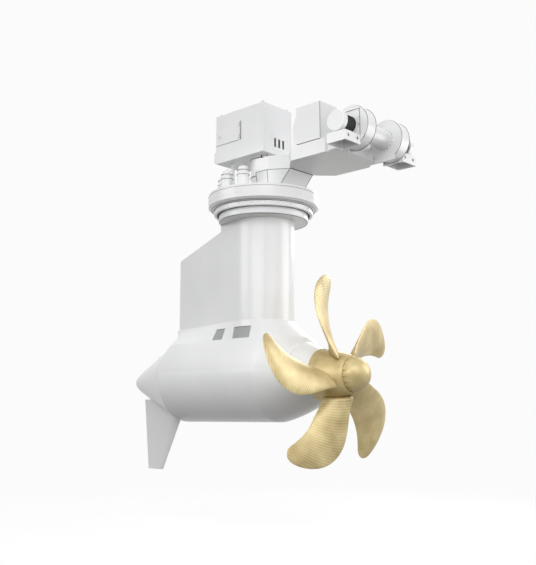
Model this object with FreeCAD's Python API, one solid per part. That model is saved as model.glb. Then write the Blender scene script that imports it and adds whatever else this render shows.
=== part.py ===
import FreeCAD, Part
import math
import os

os.makedirs("parts", exist_ok=True)

# Podded propulsion unit. Millimetres, +Z up, +X ahead (towards the propeller).
# The Z axis is the steering axis, and z = 0 is the seat of the big ring on the ship's hull.
V = FreeCAD.Vector
X_DIR = V(1, 0, 0)
Y_DIR = V(0, 1, 0)
Z_DIR = V(0, 0, 1)

# General clearances
body_gap = 0.3
shaft_play = 0.06

# Slewing bearing; the ring, the gear and the flange all take their radii from it
race_outer_radius = 1630.0
race_bore_radius = race_outer_radius - 90.0
race_top_z = -300.0
race_bottom_z = -677.0
race_split_z = -425.0
race_groove_radius = race_outer_radius - 30.0
race_chamfer = 14.0
race_bolt_count = 36
race_bolt_radius = 10.0
race_bolt_start_angle = 5.0
race_bolt_head_radius = 13.0
race_bolt_head_height = 12.0
roller_radius = 20.0
roller_length = 50.0
roller_count = 36
roller_room = 4.0
nose_outer_radius = race_groove_radius - 8.0
nose_thickness = 52.0
inner_ring_radius = race_bore_radius - 10.0
inner_ring_top_z = -320.0
inner_ring_bottom_z = -660.0
inner_ring_foot_bore = inner_ring_radius - 130.0
gear_bottom_z = -560.0
seal_gap = 4.0
seal_height = 10.0

# Casing ring that hangs in the hull
ring_radius = race_outer_radius + 190.0
ring_height = 497.0
lip_radius = ring_radius - 27.0
lip_height = 75.0
groove_height = 14.0
ring_chamfer_height = 69.0
ring_bore_radius = race_outer_radius + 2.0
ring_foot_radius = ring_bore_radius + 84.0
ring_foot_drop = 22.0
ring_shelf_radius = ring_bore_radius - 72.0
ring_shelf_height = 45.0
ring_shelf_slope = 40.0
race_seat_height = 50.0
race_seat_slope = 30.0
hull_bolt_circle_radius = lip_radius - 68.0
hull_bolt_count = 48
hull_bolt_hole_radius = 24.0
hull_bolt_hole_extra = 60.0
deck_edge_gap = 2.0
deck_thickness = 60.0
deck_air_clearance = 90.0

# Steering gear
gear_module = 20.0
gear_rim = 80.0
gear_teeth = round(2.0 * (inner_ring_radius - gear_rim) / gear_module)
gear_dedendum_share = 1.25
pinion_teeth = 12
gear_backlash = 2.4
gear_addendum_share = 0.65
pinion_height = 200.0
pinion_top_gap = 10.0
pressure_angle_degrees = 20.0
pinion_shaft_radius = 60.0
pinion_shaft_seat = 150.0
pinion_deck_clearance = 15.0
drive_angles = (-76.0, -109.0, -142.0, 76.0, 109.0, 142.0)
gearbox_radius = 200.0
gearbox_height = 410.0
gearbox_foot_radius = 240.0
gearbox_foot_height = 32.0
motor_flange_radius = 212.0
motor_flange_height = 26.0
steering_motor_radius = 184.0
steering_motor_height = 150.0
motor_collar_radius = 196.0
motor_cap_radius = 150.0
motor_cap_height = 96.0

# Pod
pod_z = -5990.0
pod_radius = 1400.0
pod_wall = 60.0
pod_rear_x = -3550.0
pod_front_x = 820.0
pod_opening_x = (-2600.0, 300.0)
pod_opening_width = 900.0
tail_tip_x = -6500.0
tail_inset_share = 2.5
# Tail outline: share of the tail's length, share of the pod's radius
tail_outline = ((0.0, 1.0), (0.34, 0.707), (0.71, 0.376), (0.868, 0.22), (0.955, 0.10), (1.0, 0.0))
nose_mid_x = 1456.0
nose_mid_radius = 0.8757 * pod_radius
nose_end_x = 2515.0
nose_end_radius = 0.5464 * pod_radius
hub_running_gap = 10.0

# Strut
flange_radius = inner_ring_radius - 56.0
flange_bottom_z = -901.0
flange_bore_radius = 600.0
flange_edge_round = 28.0
flange_bolt_count = 36
flange_bolt_radius = 20.0
flange_bolt_depth = 120.0
neck_radius = flange_radius - 18.0
strut_nose_radius = 1010.0
strut_tail_x = -4077.0
strut_tail_radius = 90.0
strut_tail_least_radius = 12.0
strut_wall = 80.0
strut_trim_room = 200.0
shoulder_x = -1256.0
shoulder_z = -1123.0
shoulder_slope = 0.205

# Skirt between strut and pod
skirt_radius = pod_radius - 80.0
skirt_front_x = 455.0
skirt_rear_x = -3185.0
skirt_bottom_z = pod_z + 0.84 * pod_radius
skirt_height = 619.0
strut_bottom_z = skirt_bottom_z + skirt_height
skirt_wall = 80.0
pocket_depth = 45.0
pocket_cover_thickness = 20.0
pocket_margin = 14.0
pocket_slant = 40.0
pocket_low_z = skirt_bottom_z + 73.0
pocket_high_z = skirt_bottom_z + 419.0
pocket_one_x = (-1128.0, -746.0)
pocket_two_x = (-182.0, 455.0)
pocket_two_point_x = 546.0

# Fin under the tail
fin_top_z = -6600.0
fin_bottom_z = -9060.0
fin_top_front_x = -3604.0
fin_top_rear_x = -5975.0
fin_bottom_front_x = -4890.0
fin_bottom_rear_x = -5690.0
fin_top_thickness = 230.0
fin_bottom_thickness = 110.0
fin_rear_edge = 6.0

# Electric motor in the pod, its shaft and bearings
shaft_radius = 260.0
shaft_rear_x = -3380.0
rotor_x = (-2250.0, 50.0)
rotor_radius = 880.0
air_gap = 15.0
stator_x = (-2200.0, 0.0)
winding_length = 190.0
winding_radius = 1180.0
winding_step = 40.0
rotor_spider_radius = 620.0
rotor_spider_width = 120.0
rotor_spider_inset = 200.0
front_bearing_x = (1350.0, 1600.0)
front_bearing_radius = 450.0
rear_bearing_x = (-3300.0, -3080.0)
rear_bearing_radius = 430.0
seal_x = (2250.0, 2400.0)
seal_radius = 400.0
shield_thickness = 110.0
shield_shaft_clearance = 25.0

# Propeller
propeller_radius = 3050.0
blade_count = 5
blade_phase = 27.8
blade_x = 3135.0
pitch_ratio = 0.89
blade_camber = 0.042
hub_rear_radius = 815.0
hub_mid_x = 3062.0
hub_mid_radius = 712.0
hub_front_x = 3600.0
hub_front_radius = 562.0
hub_cap_length = 535.0
cap_radius = 530.0
cap_rim_height = 22.0
cap_rim_length = 30.0
cap_slot_count = 18
cap_slot_length = 170.0
cap_slot_radius = 20.0
palm_radius = 280.0
palm_seat_radius = 450.0
shaft_end_inset = 60.0
cap_slot_rise = 8.0

# Slip ring column and cabinet over the ring
column_radius = 420.0
column_wall = 20.0
slip_tube_radius = 200.0
slip_tube_wall = 20.0
slip_foot_radius = 700.0
slip_foot_thickness = 30.0
slip_disc_radius = 300.0
slip_disc_count = 6
slip_disc_thickness = 40.0
slip_disc_pitch = 130.0
slip_disc_start = 200.0
slip_tube_head = 50.0
brush_gap = 60.0
brush_tower_depth = 80.0
brush_tower_half_width = 90.0
brush_arm_half_width = 30.0
brush_arm_inset = 4.0
cabinet_x = (-1571.0, 637.0)
cabinet_half_width = 701.0
cabinet_z = (1301.0, 2974.0)
cabinet_wall = 12.0
cabinet_post_size = 90.0
cabinet_post_x = -1150.0
cabinet_post_y = 300.0
junction_box_depth = 104.0
junction_box_y = (-680.0, -500.0)
junction_box_z = (1370.0, 1720.0)
hatch_x = (-1482.0, -468.0)
hatch_z = (1925.0, 2560.0)
hatch_thickness = 14.0
hatch_gap = 4.0
hatch_ledge_width = 30.0
hatch_ledge_overlap = 25.0
hatch_ledge_thickness = 10.0
hinge_pin_radius = 9.0
knuckle_height = 70.0
knuckle_wall = 7.0
hinge_ear_height = 30.0
hinge_strap_length = 60.0
hinge_strap_half = 4.0
handle_radius = 14.0
handle_inset = 90.0
handle_length = 40.0
knob_half_width = 20.0
knob_half_height = 60.0
knob_thickness = 13.0
vent_y = (-270.0, 370.0)
vent_z = (1470.0, 1965.0)
vent_slot_count = 3
vent_slot_width = 99.0
vent_slot_pitch = 197.0
vent_slot_middle_y = 73.0
vent_slot_z = (1555.0, 1860.0)
vent_frame_depth = 14.0
vent_frame_width = 40.0

# Air ducts
duct_wall = 12.0
duct_small_corner = (60.0, 60.0)
window_half_width = 300.0
window_margin = 60.0
funnel_x = (480.0, 1190.0)
funnel_half_width = 830.0
funnel_corner = (200.0, 260.0)
trunk_front_x = 1675.0
trunk_half_width = 930.0
trunk_corner = (635.0, 380.0)
plenum_x = (1722.0, 4018.0)
plenum_half_width = 1107.0
plenum_corner = 473.0
plenum_z = (528.0, 965.0)
cooler_x = (2402.0, 3349.0)
cooler_y = (253.0, 1092.0)
cooler_z = (999.0, 2164.0)
cooler_foot_inset = 40.0
cooler_hood_drop = 560.0
cooler_hood_length = 190.0
cooler_hood_inset = 70.0
cooler_hood_top_drop = 40.0

# Fans
fan_x = 4459.0
fan_z = 1092.0
fan_drum_radius = 619.0
fan_drum_y = (637.0, 1074.0)
fan_plate_x = (4095.0, 4816.0)
fan_plate_z = (437.0, 1556.0)
fan_plate_thickness = 14.0
fan_drum_wall = 10.0
fan_inlet_radius = 291.0
fan_outlet_z = (560.0, 930.0)
fan_outlet_inset = 30.0
fan_outlet_start_x = 3300.0
fan_shaft_clearance = 12.0
fan_wheel_radius = 540.0
fan_wheel_hub_radius = 120.0
fan_wheel_clearance = 24.0
fan_blade_count = 10
fan_blade_thickness = 10.0
fan_blade_inner_radius = 310.0
fan_back_disc_thickness = 12.0
fan_front_disc_thickness = 10.0
fan_hub_inset = 60.0
fan_shaft_seat = 60.0
link_duct_wall = 8.0
link_flange_radius = 330.0
link_flange_thickness = 16.0
link_flange_gap = 4.0
fan_motor_radius = 262.0
fan_motor_y = (1110.0, 1600.0)
fan_motor_fins = 24
fan_motor_fin_height = 16.0
fan_motor_fin_thickness = 9.0
fan_motor_fin_start = 10.0
fan_motor_neck_share = 0.55
fan_motor_foot_half = 220.0
fan_motor_foot_inset = 60.0
fan_motor_foot_thickness = 30.0
fan_motor_web_half = 150.0
fan_motor_web_inset = 20.0
fan_cowl_radius = 322.0
fan_cowl_end_y = 1766.0
fan_cowl_round = 34.0
fan_shaft_radius = 40.0
bed_x = (4159.0, 4816.0)
bed_outer_y = 1784.0
bed_z = (451.0, 746.0)
bed_wall = 16.0
bed_hole_y = (1208.0, 1627.0)
bed_hole_z = 615.0
bed_hole_radius = 45.0


def save(name, shape):
    shape.exportStep("parts/" + name + ".step")


def box(x, y, z):
    """A block from three (low, high) pairs."""
    return Part.makeBox(x[1] - x[0], y[1] - y[0], z[1] - z[0], V(x[0], y[0], z[0]))


def rod(radius, base, axis, length):
    return Part.makeCylinder(radius, length, base, axis)


def tube(outer, inner, base, axis, length):
    return rod(outer, base, axis, length).cut(rod(inner, base, axis, length))


def upright_ring(outer, inner, low_z, high_z):
    """A flat ring round the steering axis."""
    return tube(outer, inner, V(0, 0, low_z), Z_DIR, high_z - low_z)


def polygon_face(points):
    return Part.Face(Part.makePolygon(points + [points[0]]))


def turned_upright(points):
    """Turn a profile of (radius, z) points round the steering axis."""
    face = polygon_face([V(r, 0, z) for r, z in points])
    return face.revolve(V(0, 0, 0), Z_DIR, 360)


def turned_on_shaft(edges):
    """Turn a closed chain of edges, drawn in the XZ plane, round the shaft line."""
    face = Part.Face(Part.Wire(edges))
    return face.revolve(V(0, 0, pod_z), X_DIR, 360)


def shaft_point(x, radius):
    return V(x, 0, pod_z + radius)


def line(start, end):
    return Part.makeLine(start, end)


def arc(start, middle, end):
    return Part.Arc(start, middle, end).toShape()


def on_circle(radius, degrees, z):
    angle = math.radians(degrees)
    return V(radius * math.cos(angle), radius * math.sin(angle), z)


def cut_all(shape, tools):
    return shape.cut(Part.makeCompound(tools)) if tools else shape


def ring_of_rods(count, circle_radius, radius, low_z, high_z, start=0.0):
    """Equal upright rods on a circle round the steering axis."""
    rods = []
    for index in range(count):
        base = on_circle(circle_radius, start + 360.0 * index / count, low_z)
        rods.append(rod(radius, base, Z_DIR, high_z - low_z))
    return rods


# Gear geometry: the pinions run inside the toothed bore of the inner ring.
gear_pitch_radius = gear_module * gear_teeth / 2.0
pinion_pitch_radius = gear_module * pinion_teeth / 2.0
drive_radius = gear_pitch_radius - pinion_pitch_radius
pressure_angle = math.radians(pressure_angle_degrees)


def flank_angle(radius, pitch_radius, teeth, widen):
    """Half the angle that an involute tooth fills at this radius."""
    base_radius = pitch_radius * math.cos(pressure_angle)
    roll = math.acos(min(1.0, base_radius / radius))
    involute = math.tan(roll) - roll
    involute_at_pitch = math.tan(pressure_angle) - pressure_angle
    return math.pi / (2.0 * teeth) + widen / pitch_radius + involute_at_pitch - involute


def toothed_outline(pitch_radius, teeth, root_radius, tip_radius, widen, steps):
    """Closed outline of a gear whose first tooth is centred on the X axis."""
    base_radius = pitch_radius * math.cos(pressure_angle)
    start_radius = max(base_radius, root_radius)
    radii = [start_radius + (tip_radius - start_radius) * step / steps for step in range(steps + 1)]
    points = []
    for tooth in range(teeth):
        centre = 2.0 * math.pi * tooth / teeth
        rising = [(r, centre - flank_angle(r, pitch_radius, teeth, widen)) for r in radii]
        falling = [(r, centre + flank_angle(r, pitch_radius, teeth, widen)) for r in reversed(radii)]
        foot = []
        if root_radius < start_radius:
            foot = [(root_radius, rising[0][1])]
        tail = [(root_radius, falling[-1][1])] if foot else []
        for r, angle in foot + rising + falling + tail:
            points.append(V(r * math.cos(angle), r * math.sin(angle), 0))
    return points


def casing_ring():
    """Big fixed ring bolted into the hull, with a shelf for the deck and a seat for the bearing."""
    shelf_top = -deck_thickness
    shelf_bottom = shelf_top - ring_shelf_height
    profile = [(ring_bore_radius, 0), (lip_radius, 0), (lip_radius, -lip_height),
               (lip_radius - groove_height, -lip_height),
               (lip_radius - groove_height, -lip_height - groove_height),
               (ring_radius, -lip_height - groove_height),
               (ring_radius, ring_chamfer_height - ring_height), (ring_foot_radius, -ring_height),
               (ring_bore_radius, -ring_height - ring_foot_drop),
               (ring_bore_radius, race_top_z), (race_bore_radius, race_top_z),
               (race_bore_radius, race_top_z + race_seat_height),
               (ring_bore_radius, race_top_z + race_seat_height + race_seat_slope),
               (ring_bore_radius, shelf_bottom - ring_shelf_slope), (ring_shelf_radius, shelf_bottom),
               (ring_shelf_radius, shelf_top), (ring_bore_radius, shelf_top)]
    ring = turned_upright(profile)
    depth = lip_height + groove_height + hull_bolt_hole_extra
    holes = ring_of_rods(hull_bolt_count, hull_bolt_circle_radius, hull_bolt_hole_radius, -depth, 1)
    return cut_all(ring, holes)


def casing_deck():
    """Round floor of the steering room, with holes for drives, column and air."""
    deck = rod(ring_bore_radius - deck_edge_gap, V(0, 0, -deck_thickness), Z_DIR, deck_thickness)
    tools = []
    for angle in drive_angles:
        centre = on_circle(drive_radius, angle, -deck_thickness - 1)
        tools.append(rod(pinion_shaft_radius + pinion_deck_clearance, centre, Z_DIR, deck_thickness + 2))
    tools.append(rod(column_radius - column_wall, V(0, 0, -deck_thickness - 1), Z_DIR, deck_thickness + 2))
    air = box((funnel_x[0] + duct_wall, funnel_x[1] - deck_air_clearance),
              (duct_wall - funnel_half_width + funnel_corner[1], funnel_half_width - funnel_corner[1]),
              (-deck_thickness - 1, 1))
    tools.append(air)
    return cut_all(deck, tools)


def race_profile_bolts(low_z, high_z, radius):
    circle = (race_groove_radius + race_outer_radius) / 2.0
    return ring_of_rods(race_bolt_count, circle, radius, low_z, high_z, race_bolt_start_angle)


roller_top_z = race_split_z - body_gap - roller_room
groove_bottom_z = roller_top_z - 2.0 * roller_radius
nose_bottom_z = roller_top_z + body_gap
nose_top_z = nose_bottom_z + nose_thickness
groove_roof_z = nose_top_z + body_gap


def race_lower():
    """Lower fixed race: the ring that shows under the casing."""
    profile = [(race_bore_radius, race_bottom_z), (race_outer_radius - race_chamfer, race_bottom_z),
               (race_outer_radius, race_bottom_z + race_chamfer), (race_outer_radius, race_split_z),
               (race_groove_radius, race_split_z), (race_groove_radius, groove_bottom_z),
               (race_bore_radius, groove_bottom_z)]
    return cut_all(turned_upright(profile), race_profile_bolts(race_bottom_z - 1, race_split_z + 1,
                                                               race_bolt_radius))


def race_upper():
    """Upper fixed race: keeps the nose of the turning ring from lifting."""
    profile = [(race_groove_radius, race_split_z), (race_outer_radius, race_split_z),
               (race_outer_radius, race_top_z), (race_bore_radius, race_top_z),
               (race_bore_radius, groove_roof_z), (race_groove_radius, groove_roof_z)]
    return cut_all(turned_upright(profile), race_profile_bolts(race_split_z - 1, race_top_z + 1,
                                                               race_bolt_radius))


def race_bolts():
    shanks = race_profile_bolts(race_bottom_z, race_top_z, race_bolt_radius)
    heads = race_profile_bolts(race_bottom_z - race_bolt_head_height, race_bottom_z, race_bolt_head_radius)
    bolts = [shank.fuse(head) for shank, head in zip(shanks, heads)]
    return Part.makeCompound(bolts)


def slewing_seal():
    """Rubber ring that keeps the sea out between the fixed race and the turning flange."""
    low = race_bottom_z + seal_gap
    return upright_ring(race_bore_radius, flange_radius + body_gap, low, low + seal_height)


def bearing_rollers():
    rollers = []
    inner = (race_bore_radius + race_groove_radius - roller_length) / 2.0
    z = (roller_top_z + groove_bottom_z) / 2.0
    for index in range(roller_count):
        angle = 360.0 * index / roller_count
        base = on_circle(inner, angle, z)
        rollers.append(rod(roller_radius, base, on_circle(1.0, angle, 0), roller_length))
    return Part.makeCompound(rollers)


def slewing_inner_gear():
    """Turning ring of the bearing, with the teeth that the pinions drive."""
    blank_profile = [(inner_ring_foot_bore, inner_ring_bottom_z), (inner_ring_radius, inner_ring_bottom_z),
                     (inner_ring_radius, nose_bottom_z), (nose_outer_radius, nose_bottom_z),
                     (nose_outer_radius, nose_top_z), (inner_ring_radius, nose_top_z),
                     (inner_ring_radius, inner_ring_top_z), (inner_ring_foot_bore, inner_ring_top_z)]
    blank = turned_upright(blank_profile)
    tip = gear_pitch_radius - gear_addendum_share * gear_module
    root = gear_pitch_radius + gear_dedendum_share * gear_module
    space = gear_backlash / 2.0
    outline = toothed_outline(gear_pitch_radius, gear_teeth, tip, root, space, 1)
    bore = polygon_face(outline).extrude(V(0, 0, inner_ring_top_z - gear_bottom_z + 1))
    bore.translate(V(0, 0, gear_bottom_z))
    return blank.cut(bore)


def steering_pinion(angle):
    """Pinion and its shaft, turned so that a tooth stands in a space of the ring."""
    tip = pinion_pitch_radius + gear_module
    root = pinion_pitch_radius - gear_dedendum_share * gear_module
    outline = toothed_outline(pinion_pitch_radius, pinion_teeth, root, tip, 0.0, 3)
    gear_top = inner_ring_top_z - pinion_top_gap
    gear = polygon_face(outline).extrude(V(0, 0, pinion_height))
    gear.translate(V(0, 0, gear_top - pinion_height))
    shaft = rod(pinion_shaft_radius, V(0, 0, gear_top), Z_DIR, pinion_shaft_seat - gear_top)
    pinion = gear.fuse(shaft)
    pitch_angle = 360.0 / gear_teeth
    to_space = round(angle / pitch_angle) * pitch_angle - angle
    pinion.rotate(V(0, 0, 0), Z_DIR, angle + to_space * gear_teeth / pinion_teeth)
    pinion.translate(on_circle(drive_radius, angle, 0))
    return pinion


def steering_gearboxes():
    boxes = []
    for angle in drive_angles:
        centre = on_circle(drive_radius, angle, 0)
        foot = rod(gearbox_foot_radius, centre, Z_DIR, gearbox_foot_height)
        body = foot.fuse(rod(gearbox_radius, centre, Z_DIR, gearbox_height))
        bore = rod(pinion_shaft_radius + shaft_play, centre, Z_DIR, pinion_shaft_seat + 1.0)
        boxes.append(body.cut(bore))
    return Part.makeCompound(boxes)


def steering_motors():
    motors = []
    for angle in drive_angles:
        centre = on_circle(drive_radius, angle, gearbox_height)
        flange = rod(motor_flange_radius, centre, Z_DIR, motor_flange_height)
        body = rod(steering_motor_radius, centre, Z_DIR, steering_motor_height)
        collar_base = centre + V(0, 0, steering_motor_height)
        collar = rod(motor_collar_radius, collar_base, Z_DIR, motor_flange_height)
        cap_base = collar_base + V(0, 0, motor_flange_height)
        cap = rod(motor_cap_radius, cap_base, Z_DIR, motor_cap_height)
        motors.append(flange.fuse([body, collar, cap]).removeSplitter())
    return Part.makeCompound(motors)


# Turning part: flange, strut, skirt, pod, tail and fin
def strut_flange():
    edge = flange_edge_round
    bottom = flange_bottom_z
    outer = flange_radius
    face = polygon_face([V(flange_bore_radius, 0, bottom), V(outer - edge, 0, bottom),
                         V(outer, 0, bottom + edge), V(outer, 0, inner_ring_bottom_z),
                         V(flange_bore_radius, 0, inner_ring_bottom_z)])
    flange = face.revolve(V(0, 0, 0), Z_DIR, 360)
    bolt_circle = (inner_ring_foot_bore + flange_radius) / 2.0
    return cut_all(flange, ring_of_rods(flange_bolt_count, bolt_circle, flange_bolt_radius,
                                        inner_ring_bottom_z - flange_bolt_depth, inner_ring_bottom_z + 1))


def strut_flange_bolts():
    bolt_circle = (inner_ring_foot_bore + flange_radius) / 2.0
    bolts = ring_of_rods(flange_bolt_count, bolt_circle, flange_bolt_radius,
                         inner_ring_bottom_z - flange_bolt_depth, inner_ring_bottom_z)
    return Part.makeCompound(bolts)


def teardrop_wire(z, inset):
    """Strut outline: round nose on the steering axis, straight tapering sides, narrow tail."""
    nose = strut_nose_radius - inset
    tail = max(strut_tail_radius - inset, strut_tail_least_radius)
    tail_x = strut_tail_x + strut_tail_radius + inset * 3.0
    slope = math.asin((nose - tail) / -tail_x)
    side = V(-math.sin(slope), math.cos(slope), 0)
    other = V(side.x, -side.y, 0)
    base = V(0, 0, z)
    tail_base = V(tail_x, 0, z)
    edges = [arc(base + other * nose, base + V(nose, 0, 0), base + side * nose),
             line(base + side * nose, tail_base + side * tail),
             arc(tail_base + side * tail, tail_base - V(tail, 0, 0), tail_base + other * tail),
             line(tail_base + other * tail, base + other * nose)]
    return Part.Wire(edges)


def stadium_wire(z, inset):
    """Base outline of the skirt: two half circles joined by straight sides."""
    r = skirt_radius - inset
    front = V(skirt_front_x, 0, z)
    rear = V(skirt_rear_x, 0, z)
    up = V(0, r, 0)
    edges = [arc(front - up, front + V(r, 0, 0), front + up), line(front + up, rear + up),
             arc(rear + up, rear - V(r, 0, 0), rear - up), line(rear - up, front - up)]
    return Part.Wire(edges)


def strut_body(inset):
    """Teardrop column, trimmed by the neck and by the sloping rear shoulder."""
    height = flange_bottom_z - strut_bottom_z
    body = Part.Face(teardrop_wire(strut_bottom_z, inset)).extrude(V(0, 0, height))
    reach = strut_trim_room - strut_tail_x
    half = strut_nose_radius + strut_trim_room
    top_z = shoulder_z + shoulder_slope * (neck_radius - shoulder_x) - inset
    far_z = shoulder_z - shoulder_slope * (reach + shoulder_x) - inset
    wedge = polygon_face([V(-reach, -half, far_z), V(neck_radius, -half, top_z),
                          V(neck_radius, -half, 0), V(-reach, -half, 0)])
    above = wedge.extrude(V(0, 2.0 * half, 0))
    outside = above.cut(rod(neck_radius - inset, V(0, 0, strut_bottom_z), Z_DIR, -strut_bottom_z))
    return body.cut(outside)


def strut_casing():
    inner = strut_body(strut_wall)
    return strut_body(0.0).cut(inner)


def skirt_flare(inset):
    top = teardrop_wire(strut_bottom_z, inset)
    bottom = stadium_wire(skirt_bottom_z, inset)
    return Part.makeLoft([top, bottom], True, True)


def pod_outside():
    """Whole outer form of the pod as one turned solid."""
    edges = [line(shaft_point(tail_tip_x, 0), shaft_point(nose_end_x, 0)),
             line(shaft_point(nose_end_x, 0), shaft_point(nose_end_x, nose_end_radius)),
             nose_arc(0.0), line(shaft_point(pod_front_x, pod_radius), shaft_point(pod_rear_x, pod_radius)),
             tail_curve(0.0)]
    return turned_on_shaft(edges)


def nose_arc(inset):
    return arc(shaft_point(nose_end_x, nose_end_radius - inset),
               shaft_point(nose_mid_x, nose_mid_radius - inset),
               shaft_point(pod_front_x, pod_radius - inset))


def tail_curve(inset):
    """Outline of the tail from the pod's barrel to the tip on the shaft line."""
    length = pod_rear_x - tail_tip_x - inset * tail_inset_share
    radius = pod_radius - inset
    curve = Part.BSplineCurve()
    curve.interpolate([shaft_point(pod_rear_x - share * length, size * radius)
                       for share, size in tail_outline])
    return curve.toShape()


def shoulder_block(inset):
    height = skirt_bottom_z - pod_z
    return Part.Face(stadium_wire(pod_z, inset)).extrude(V(0, 0, height))


def pocket_prisms(margin):
    """The two access pockets on each side of the skirt, as prisms across the pod."""
    low = pocket_low_z + margin
    high = pocket_high_z - margin
    slant = pocket_slant
    first = [V(pocket_one_x[0] + margin, 0, low), V(pocket_one_x[1] - margin - slant, 0, low),
             V(pocket_one_x[1] - margin, 0, high), V(pocket_one_x[0] + margin + slant, 0, high)]
    middle = (low + high) / 2.0
    second = [V(pocket_two_x[0] + margin - slant, 0, low), V(pocket_two_x[1] - margin, 0, low),
              V(pocket_two_point_x - margin, 0, middle), V(pocket_two_x[1] - margin, 0, high),
              V(pocket_two_x[0] + margin, 0, high)]
    prisms = []
    for points in (first, second):
        prism = polygon_face(points).extrude(V(0, 3 * skirt_radius, 0))
        prism.translate(V(0, -1.5 * skirt_radius, 0))
        prisms.append(prism)
    return prisms


def strut_skirt():
    """Flared foot of the strut, down to its saddle on the pod."""
    outside = skirt_flare(0.0).fuse(shoulder_block(0.0))
    inside = skirt_flare(skirt_wall).fuse(shoulder_block(skirt_wall))
    shell = outside.cut(inside).cut(pod_outside())
    pocket_floor = skirt_flare(pocket_depth)
    for prism in pocket_prisms(0.0):
        shell = shell.cut(prism.cut(pocket_floor))
    return shell


def pocket_covers():
    top = skirt_flare(pocket_depth - pocket_cover_thickness)
    floor = skirt_flare(pocket_depth)
    plates = []
    for prism in pocket_prisms(pocket_margin):
        plate = top.common(prism).cut(floor)
        plates.extend(plate.Solids)
    return Part.makeCompound(plates)


def nacelle_shell():
    length = pod_front_x - pod_rear_x
    shell = tube(pod_radius, pod_radius - pod_wall, V(pod_rear_x, 0, pod_z), X_DIR, length)
    half = pod_opening_width / 2.0
    opening = box(pod_opening_x, (-half, half), (pod_z, pod_z + 2 * pod_radius))
    return shell.cut(opening)


def tail_cone():
    """Hollow tail that closes the rear of the pod."""
    def form(inset):
        back = shaft_point(pod_rear_x, 0)
        curve = tail_curve(inset)
        tip = curve.valueAt(curve.LastParameter)
        rim = shaft_point(pod_rear_x, pod_radius - inset)
        return turned_on_shaft([line(back, rim), curve, line(tip, back)])
    return form(0.0).cut(form(pod_wall))


def tail_fin():
    """Fixed fin under the tail: a lens section that thins towards its foot."""
    def section(front, rear, z, thickness):
        half = thickness / 2.0
        # Each pair: share of the length behind the front edge, share of the half thickness
        points = [V(front + share * (rear - front), full * half, z)
                  for share, full in ((0.0, 0.0), (0.06, 0.55), (0.32, 1.0), (0.75, 0.5))]
        points.append(V(rear, fin_rear_edge, z))
        left = Part.BSplineCurve()
        left.interpolate(points)
        mirrored = [V(p.x, -p.y, p.z) for p in reversed(points)]
        right = Part.BSplineCurve()
        right.interpolate(mirrored)
        return Part.Wire([left.toShape(), line(points[-1], mirrored[0]), right.toShape()])
    top = section(fin_top_front_x, fin_top_rear_x, fin_top_z, fin_top_thickness)
    bottom = section(fin_bottom_front_x, fin_bottom_rear_x, fin_bottom_z, fin_bottom_thickness)
    return Part.makeLoft([top, bottom], True, True).cut(pod_outside())


def nose_shield():
    """Front end of the pod: carries the propeller bearing and the shaft seal."""
    back = pod_front_x
    bore = shaft_radius + shield_shaft_clearance
    edges = [line(shaft_point(back, bore), shaft_point(back, pod_radius)), nose_arc(0.0),
             line(shaft_point(nose_end_x, nose_end_radius), shaft_point(nose_end_x, bore)),
             line(shaft_point(nose_end_x, bore), shaft_point(back, bore))]
    shield = turned_on_shaft(edges)
    hollow = tube(pod_radius - 3 * pod_wall, front_bearing_radius + pod_wall,
                  V(back - 1, 0, pod_z), X_DIR, front_bearing_x[0] - shield_thickness - back)
    front_hollow_x = front_bearing_x[1] + shield_thickness
    front_hollow = tube(nose_end_radius - 2 * pod_wall, seal_radius + pod_wall,
                        V(front_hollow_x, 0, pod_z), X_DIR, seal_x[0] - front_hollow_x)
    bearing_seat = rod(front_bearing_radius, V(back - 1, 0, pod_z), X_DIR, front_bearing_x[1] - back + 1)
    seal_seat = rod(seal_radius, V(seal_x[0], 0, pod_z), X_DIR, nose_end_x - seal_x[0] + 1)
    return cut_all(shield, [hollow, front_hollow, bearing_seat, seal_seat])


def rear_shield():
    width = rear_bearing_x[1] - rear_bearing_x[0]
    base = V(rear_bearing_x[0], 0, pod_z)
    return tube(pod_radius - pod_wall, rear_bearing_radius, base, X_DIR, width)


def shaft_ring(x, outer):
    """A bearing or seal ring that the shaft runs in."""
    return tube(outer, shaft_radius + shaft_play, V(x[0], 0, pod_z), X_DIR, x[1] - x[0])


def stator():
    core = tube(pod_radius - pod_wall, rotor_radius + air_gap, V(stator_x[0], 0, pod_z), X_DIR,
                stator_x[1] - stator_x[0])
    inner = rotor_radius + air_gap + winding_step
    coils = []
    for x in (stator_x[0] - winding_length, stator_x[1]):
        coils.append(tube(winding_radius, inner, V(x, 0, pod_z), X_DIR, winding_length))
    return core.fuse(coils)


def rotor():
    length = rotor_x[1] - rotor_x[0]
    outer = tube(rotor_radius, rotor_spider_radius, V(rotor_x[0], 0, pod_z), X_DIR, length)
    width = rotor_spider_width
    discs = []
    for x in (rotor_x[0] + rotor_spider_inset, rotor_x[1] - rotor_spider_inset - width):
        discs.append(tube(rotor_spider_radius + 1.0, shaft_radius, V(x, 0, pod_z), X_DIR, width))
    return outer.fuse(discs)


hub_rear_x = nose_end_x + hub_running_gap
shaft_end_x = hub_front_x - shaft_end_inset


def shaft():
    return rod(shaft_radius, V(shaft_rear_x, 0, pod_z), X_DIR, shaft_end_x - shaft_rear_x)


def hub_outside():
    edges = [line(shaft_point(hub_rear_x, 0), shaft_point(hub_rear_x, hub_rear_radius)),
             arc(shaft_point(hub_rear_x, hub_rear_radius), shaft_point(hub_mid_x, hub_mid_radius),
                 shaft_point(hub_front_x, hub_front_radius)),
             line(shaft_point(hub_front_x, hub_front_radius), shaft_point(hub_front_x, 0)),
             line(shaft_point(hub_front_x, 0), shaft_point(hub_rear_x, 0))]
    return turned_on_shaft(edges)


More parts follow.
